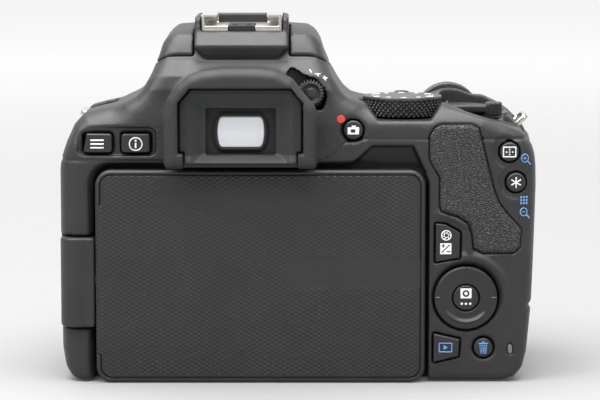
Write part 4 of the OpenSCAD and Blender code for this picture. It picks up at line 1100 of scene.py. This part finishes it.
def info_icon(u, v):
    return union(rect(u, v, 0, -0.35, 0.24, 0.7), disc(u, v, 0, 0.85, 0.29), ring(u, v, 1.6, 0.16))


def play_icon(u, v):
    frame_line = np.abs(rect(u, v, 0, 0, 1.6, 1.1, 0.1)) - 0.15
    return union(frame_line, polygon(u, v, [(-0.5, 0.6), (-0.5, -0.6), (0.7, 0)]))


def bin_icon(u, v):
    can = polygon(u, v, [(-1, 0.75), (-0.75, -1.45), (0.75, -1.45), (1, 0.75)])
    ribs = [(d, -0.35, 0.13, 0.75) for d in (-0.42, 0, 0.42)]
    return union(meet(can, -can - 0.17), bars(u, v, *ribs, (0, 1.1, 1.25, 0.14), (0, 1.45, 0.4, 0.14)))


def search_icon(sign, u, v):
    """A looking glass with a plus or a minus in it."""
    lines = [rect(u + 0.25, v - 0.25, 0, 0, 0.5, 0.11)]
    if sign > 0:
        lines.append(rect(u + 0.25, v - 0.25, 0, 0, 0.11, 0.5))
    return union(ring(u + 0.25, v - 0.25, 1, 0.14), capsule(u, v, (0.5, -0.5), (1.3, -1.3), 0.2), *lines)


def grid_icon(u, v):
    return bars(u, v, *[(i * 0.75, j * 0.75, 0.27, 0.27) for i in (-1, 0, 1) for j in (-1, 0, 1)])


def star_icon(u, v):
    tips = [(1.25 * math.cos(a), 1.25 * math.sin(a)) for a in (math.pi / 6, math.pi / 2, 5 * math.pi / 6)]
    return union(*[capsule(u, v, (-p, -q), (p, q), 0.17) for p, q in tips])


def focus_icon(u, v):
    """A frame with a cross of small squares in it."""
    frame_line = np.abs(rect(u, v, 0, 0, 1.55, 1.2, 0.1)) - 0.15
    spots = [(i, j, 0.2, 0.2) for i, j in ((0, 0), (0.75, 0), (-0.75, 0), (0, 0.62), (0, -0.62))]
    return union(frame_line, bars(u, v, *spots))


def camera_icon(u, v):
    case = union(rect(u, v, 0, -0.15, 1.45, 0.9, 0.15), rect(u, v, 0.1, 0.85, 0.55, 0.3))
    return meet(case, -rect(u, v, -0.1, -0.2, 0.55, 0.42))


def exposure_icon(u, v):
    """A white square with a plus, a slash and a minus cut out of it."""
    signs = bars(u, v, (-0.65, 0.7, 0.5, 0.12), (-0.65, 0.7, 0.12, 0.5), (0.7, -0.75, 0.5, 0.12))
    signs = union(signs, capsule(u, v, (-0.95, -0.95), (0.95, 0.95), 0.12))
    return meet(rect(u, v, 0, 0, 1.45, 1.4, 0.1), -signs)


def iris_icon(u, v):
    """Six blades of a lens opening."""
    on = lambda r, a: (r * math.cos(a), r * math.sin(a))
    blades = [capsule(u, v, on(1.15, a), on(0.55, a + 1.4), 0.1) for a in np.arange(6) * math.pi / 3]
    return union(ring(u, v, 1.2, 0.15), *blades)


def sun_icon(u, v):
    return union(disc(u, v, 0, 0, 0.35), circle_of(8, 0.8, lambda p, q, a: disc(p, q, 0, 0, 0.13), u, v))


def quick_icon(u, v):
    """A filled square with a ring cut out, over three dots."""
    u, v = u / 1.35, v / 1.35
    square = meet(rect(u, v, 0, 0.85, 1.05, 0.95, 0.1), -ring(u, v - 0.85, 0.48, 0.15))
    return union(square, *[disc(u, v, d, -1.1, 0.24) for d in (-0.8, 0, 0.8)])


for name, node, icon, half, ink, sink in (
    ("menu", "menu_button", list_icon, 2, WHITE, 0.3), ("info", "info_button", info_icon, 2, WHITE, 0.3),
    ("live_view", "live_view_button", camera_icon, 1.8, WHITE, 0),
    ("focus", "af_point_button", focus_icon, 1.9, WHITE, 0),
    ("lock", "ae_lock_button", star_icon, 1.6, WHITE, 0), ("erase", "erase_button", bin_icon, 1.8, BLUE, 0),
    ("set", "set_button", quick_icon, 2.8, WHITE, 0.03),
):
    at = middle(node)
    mark("mark_" + name, icon, (at[0], at[2]), half, corners(node)[0][1] + sink, node, ink, "key")
key_face = WALL_Y - 0.6
mark("mark_exposure", exposure_icon, (51.6, 34), 1.7, key_face, "av_button", WHITE, "key")
mark("mark_iris", iris_icon, (51.7, 37.4), 1.6, key_face, "av_button", WHITE, "key")
mark("mark_playback", play_icon, (51.7, 8.7), 2, key_face, "playback_button", BLUE, "key")
on_body("mark_live_dot", lambda u, v: disc(u, v, 0, 0, 1), (25.1, 66.8), 1.2, RED)
on_body("mark_zoom_in", lambda u, v: search_icon(1, u, v), (71.7, 56.6), 1.7, BLUE)
on_body("mark_grid", grid_icon, (71.3, 46.2), 1.3, BLUE)
on_body("mark_zoom_out", lambda u, v: search_icon(-1, u, v), (71.5, 43), 1.7, BLUE)


def minus_icon(u, v):
    return rect(u * 0.9 + v * 0.4, v * 0.9 - u * 0.4, 0, 0, 0.16, 0.6)


def zero_icon(u, v):
    return bars(u, v, (0, 0.25, 0.75, 0.15), (0, -0.1, 0.15, 0.45))


def plus_icon(u, v):
    return bars(u, v, (0, 0, 0.7, 0.16), (0, 0, 0.16, 0.7))


on_body("mark_dioptre_minus", minus_icon, (17.5, 78.6), 0.9, WHITE, lift=0.14)
on_body("mark_dioptre_zero", zero_icon, (19.3, 77.8), 1, WHITE, lift=0.14)
on_body("mark_dioptre_plus", plus_icon, (21.1, 76.9), 1, WHITE, lift=0.14)
for i in range(12):
    angle = math.radians(30 * i)
    spot = (MODE[0] + (MODE_R - 2.6) * math.cos(angle), MODE[1] + (MODE_R - 2.6) * math.sin(angle))
    shapes = (sun_icon, camera_icon, grid_icon, star_icon, lambda u, v: ring(u, v, 0.9, 0.15), focus_icon)
    small = lambda u, v, icon=shapes[i % 6]: icon(u * 1.7, v * 1.7) / 1.7
    mark("mark_mode_%02d" % i, small, spot, 1.2, MODE_TOP, "mode_dial", WHITE, "key", axis="z")
# The speaker holes are not cut into the body: small dark discs lie on its surface as painted shade of the
# holes.
for i in range(4):
    for side in (-1, 1):
        name = "speaker_hole_shade_%d_%s" % (i, "left" if side < 0 else "right")
        hole = (side * 20.9, 60.6 + 1.5 * i)
        on_body(name, lambda u, v: disc(u, v, 0, 0, 0.3), hole, 0.45, PIT, "inner_black")

# ---- hot shoe and strap lugs


def shoe_field(x, y, z):
    low, high = SHOE_LOW, SHOE_HIGH
    f = smax(np.abs(x) - high[0], meet(slab(y, low[1], high[1]), slab(z, low[2], high[2])), 0.5)
    slide = meet(np.abs(x) - 9.35, slab(y, low[1] - 3, high[1] - 0.8), slab(z, low[2] + 1.3, high[2] - 0.7))
    f = cut(f, slide, 0.3)
    f = cut(f, meet(np.abs(x) - 6.3, low[2] + 1.3 - z), 0.3)
    return cut(f, box3(x, y, z, (-3.4, low[1] - 2, low[2] - 2), (3.4, high[1] - 3, low[2] + 4)), 0.2)


part(
    "shoe_rails", shoe_field, SHOE_LOW - 0.2, SHOE_HIGH + 0.2, 0.22,
    BODY, STEEL, "steel", ["hot_shoe"],
)


def lug_field(x, y, z):
    turn = math.radians(17)
    dx, dz = x + 36.4, z - 66.9
    u, w = dx * math.cos(turn) - dz * math.sin(turn), dx * math.sin(turn) + dz * math.cos(turn)
    left = smax(rect(u, y, -1.9, 2, 3.5, 5.2, 1.6), slab(w, -2.4, -0.9), 0.5)
    left = cut(left, meet(rect(u, y, -2.1, 2, 1.5, 4, 1.4), slab(w, -9, 9)), 0.4)
    u, w = lug_local(x, z)
    right = smax(rect(w, y, 0.3, 2, 3.7, 5.2, 1.6), np.abs(u) - 0.75, 0.5)
    right = cut(right, meet(rect(w, y, 1.7, 2, 1.3, 4, 1.2), slab(u, -9, 9)), 0.4)
    return union(left, right)


for name, low, high, nodes in (
    ("left", (-43, -4, 62), (-33, 8, 69), ["strap_lugs"]), ("right", (66.5, -4, 59), (76, 8, 68.5), []),
):
    part("strap_lug_" + name, lug_field, low, high, 0.25, BODY, STEEL, "steel", nodes)

# ---- CAD pieces that stay, with a small bevel and a finish

for finish, names in (
    (SHELL, "base_plate"), (MOUNT_STEEL, "lens_mount"), (GLASS, "focusing_screen"), (SHEET, "chassis"),
    (PIT, "contact_block mirror_box pentamirror shoe_insert shutter_frame shutter_blade_1 shutter_blade_2"),
    (STEEL, "mount_screws tripod_socket terminal_sockets case_screws lens_lock_pin"),
    (SENSOR, "image_sensor"), (BOARD, "main_board"), (CELL, "battery"), (BLACKENED, "hinge_pin"),
    (DISPLAY, "screen_bezel screen_glass"), (DIFFUSER, "flash_lens"), (SILVERED, "main_mirror sub_mirror"),
    (KEY, "door_latch"),
):
    for node in names.split():
        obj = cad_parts[node]
        obj.data.materials.clear()
        obj.data.materials.append(finish)
        bevel = obj.modifiers.new("edge", "BEVEL")
        bevel.width = 0.12 * MM
        bevel.segments = 2
        bevel.limit_method = "ANGLE"
        bevel.angle_limit = math.radians(38)
        bevel.use_clamp_overlap = True

# ---- floor, light and camera

floor_material = material(
    "pale_floor", (0.29, 0.29, 0.29), 0.8, mottle=0.01, Emission_Color=(1, 1, 1, 1), Specular_IOR_Level=0.1,
)
tree = floor_material.node_tree
# the floor glows a little more with distance from the object, so that it ends as bright as the wall behind
reach = add_node(tree, "VectorMath")
reach.operation = "LENGTH"
glow = add_node(tree, "MapRange", From_Min=-0.1, From_Max=1.3, To_Min=0.02, To_Max=0.69)
glow.interpolation_type = "SMOOTHSTEP"
tree.links.new(add_node(tree, "TexCoord").outputs["Object"], reach.inputs[0])
tree.links.new(reach.outputs["Value"], glow.inputs["Value"])
tree.links.new(glow.outputs["Result"], tree.nodes["Principled BSDF"].inputs["Emission Strength"])
bpy.ops.mesh.primitive_plane_add(size=8, location=(0, 0, -0.0003))
floor = bpy.context.object
floor.name = "floor"
floor.data.materials.append(floor_material)

world = bpy.data.worlds.new("studio")
bpy.context.scene.world = world
world.use_nodes = True
tree = world.node_tree
# bright wall behind the object, darker room behind the camera
parts_of = add_node(tree, "SeparateXYZ", add_node(tree, "TexCoord").outputs["Generated"])
room = add_node(tree, "MapRange", From_Min=-0.5, From_Max=0.6, To_Min=0.19, To_Max=0.96)
room.interpolation_type = "SMOOTHSTEP"
tree.links.new(parts_of.outputs["Y"], room.inputs["Value"])
tree.links.new(room.outputs["Result"], tree.nodes["Background"].inputs["Strength"])
tree.nodes["Background"].inputs["Color"].default_value = (1, 1, 1, 1)


for name, place_m, target_m, size, power in (
    ("overhead", (-0.05, -0.2, 0.85), (0.0, -0.12, 0), (1.1, 1.0), 25.0),
    ("left_fill", (-0.75, -0.65, 0.75), (0, 0, 0.04), (0.6, 0.6), 6.0),
    ("right_fill", (0.8, -0.7, 0.7), (0, 0, 0.04), (0.5, 0.6), 3.0),
):
    data = bpy.data.lights.new(name, "AREA")
    data.shape = "RECTANGLE"
    data.size, data.size_y = size
    data.energy = power
    lamp = bpy.data.objects.new(name, data)
    lamp.location = place_m
    lamp.rotation_euler = (Vector(target_m) - Vector(place_m)).to_track_quat("-Z", "Y").to_euler()
    bpy.context.scene.collection.objects.link(lamp)

camera_data = bpy.data.cameras.new("camera")
camera = bpy.data.objects.new("camera", camera_data)
bpy.context.scene.collection.objects.link(camera)
camera_data.sensor_width = 36
camera_data.lens = 156.2
camera_data.clip_start = 0.01
camera.location = (0.0148, -0.674, 0.125)
camera.rotation_euler = (math.radians(90 - 6.887), 0, 0)
bpy.context.scene.camera = camera
bpy.context.scene.view_settings.view_transform = "Standard"
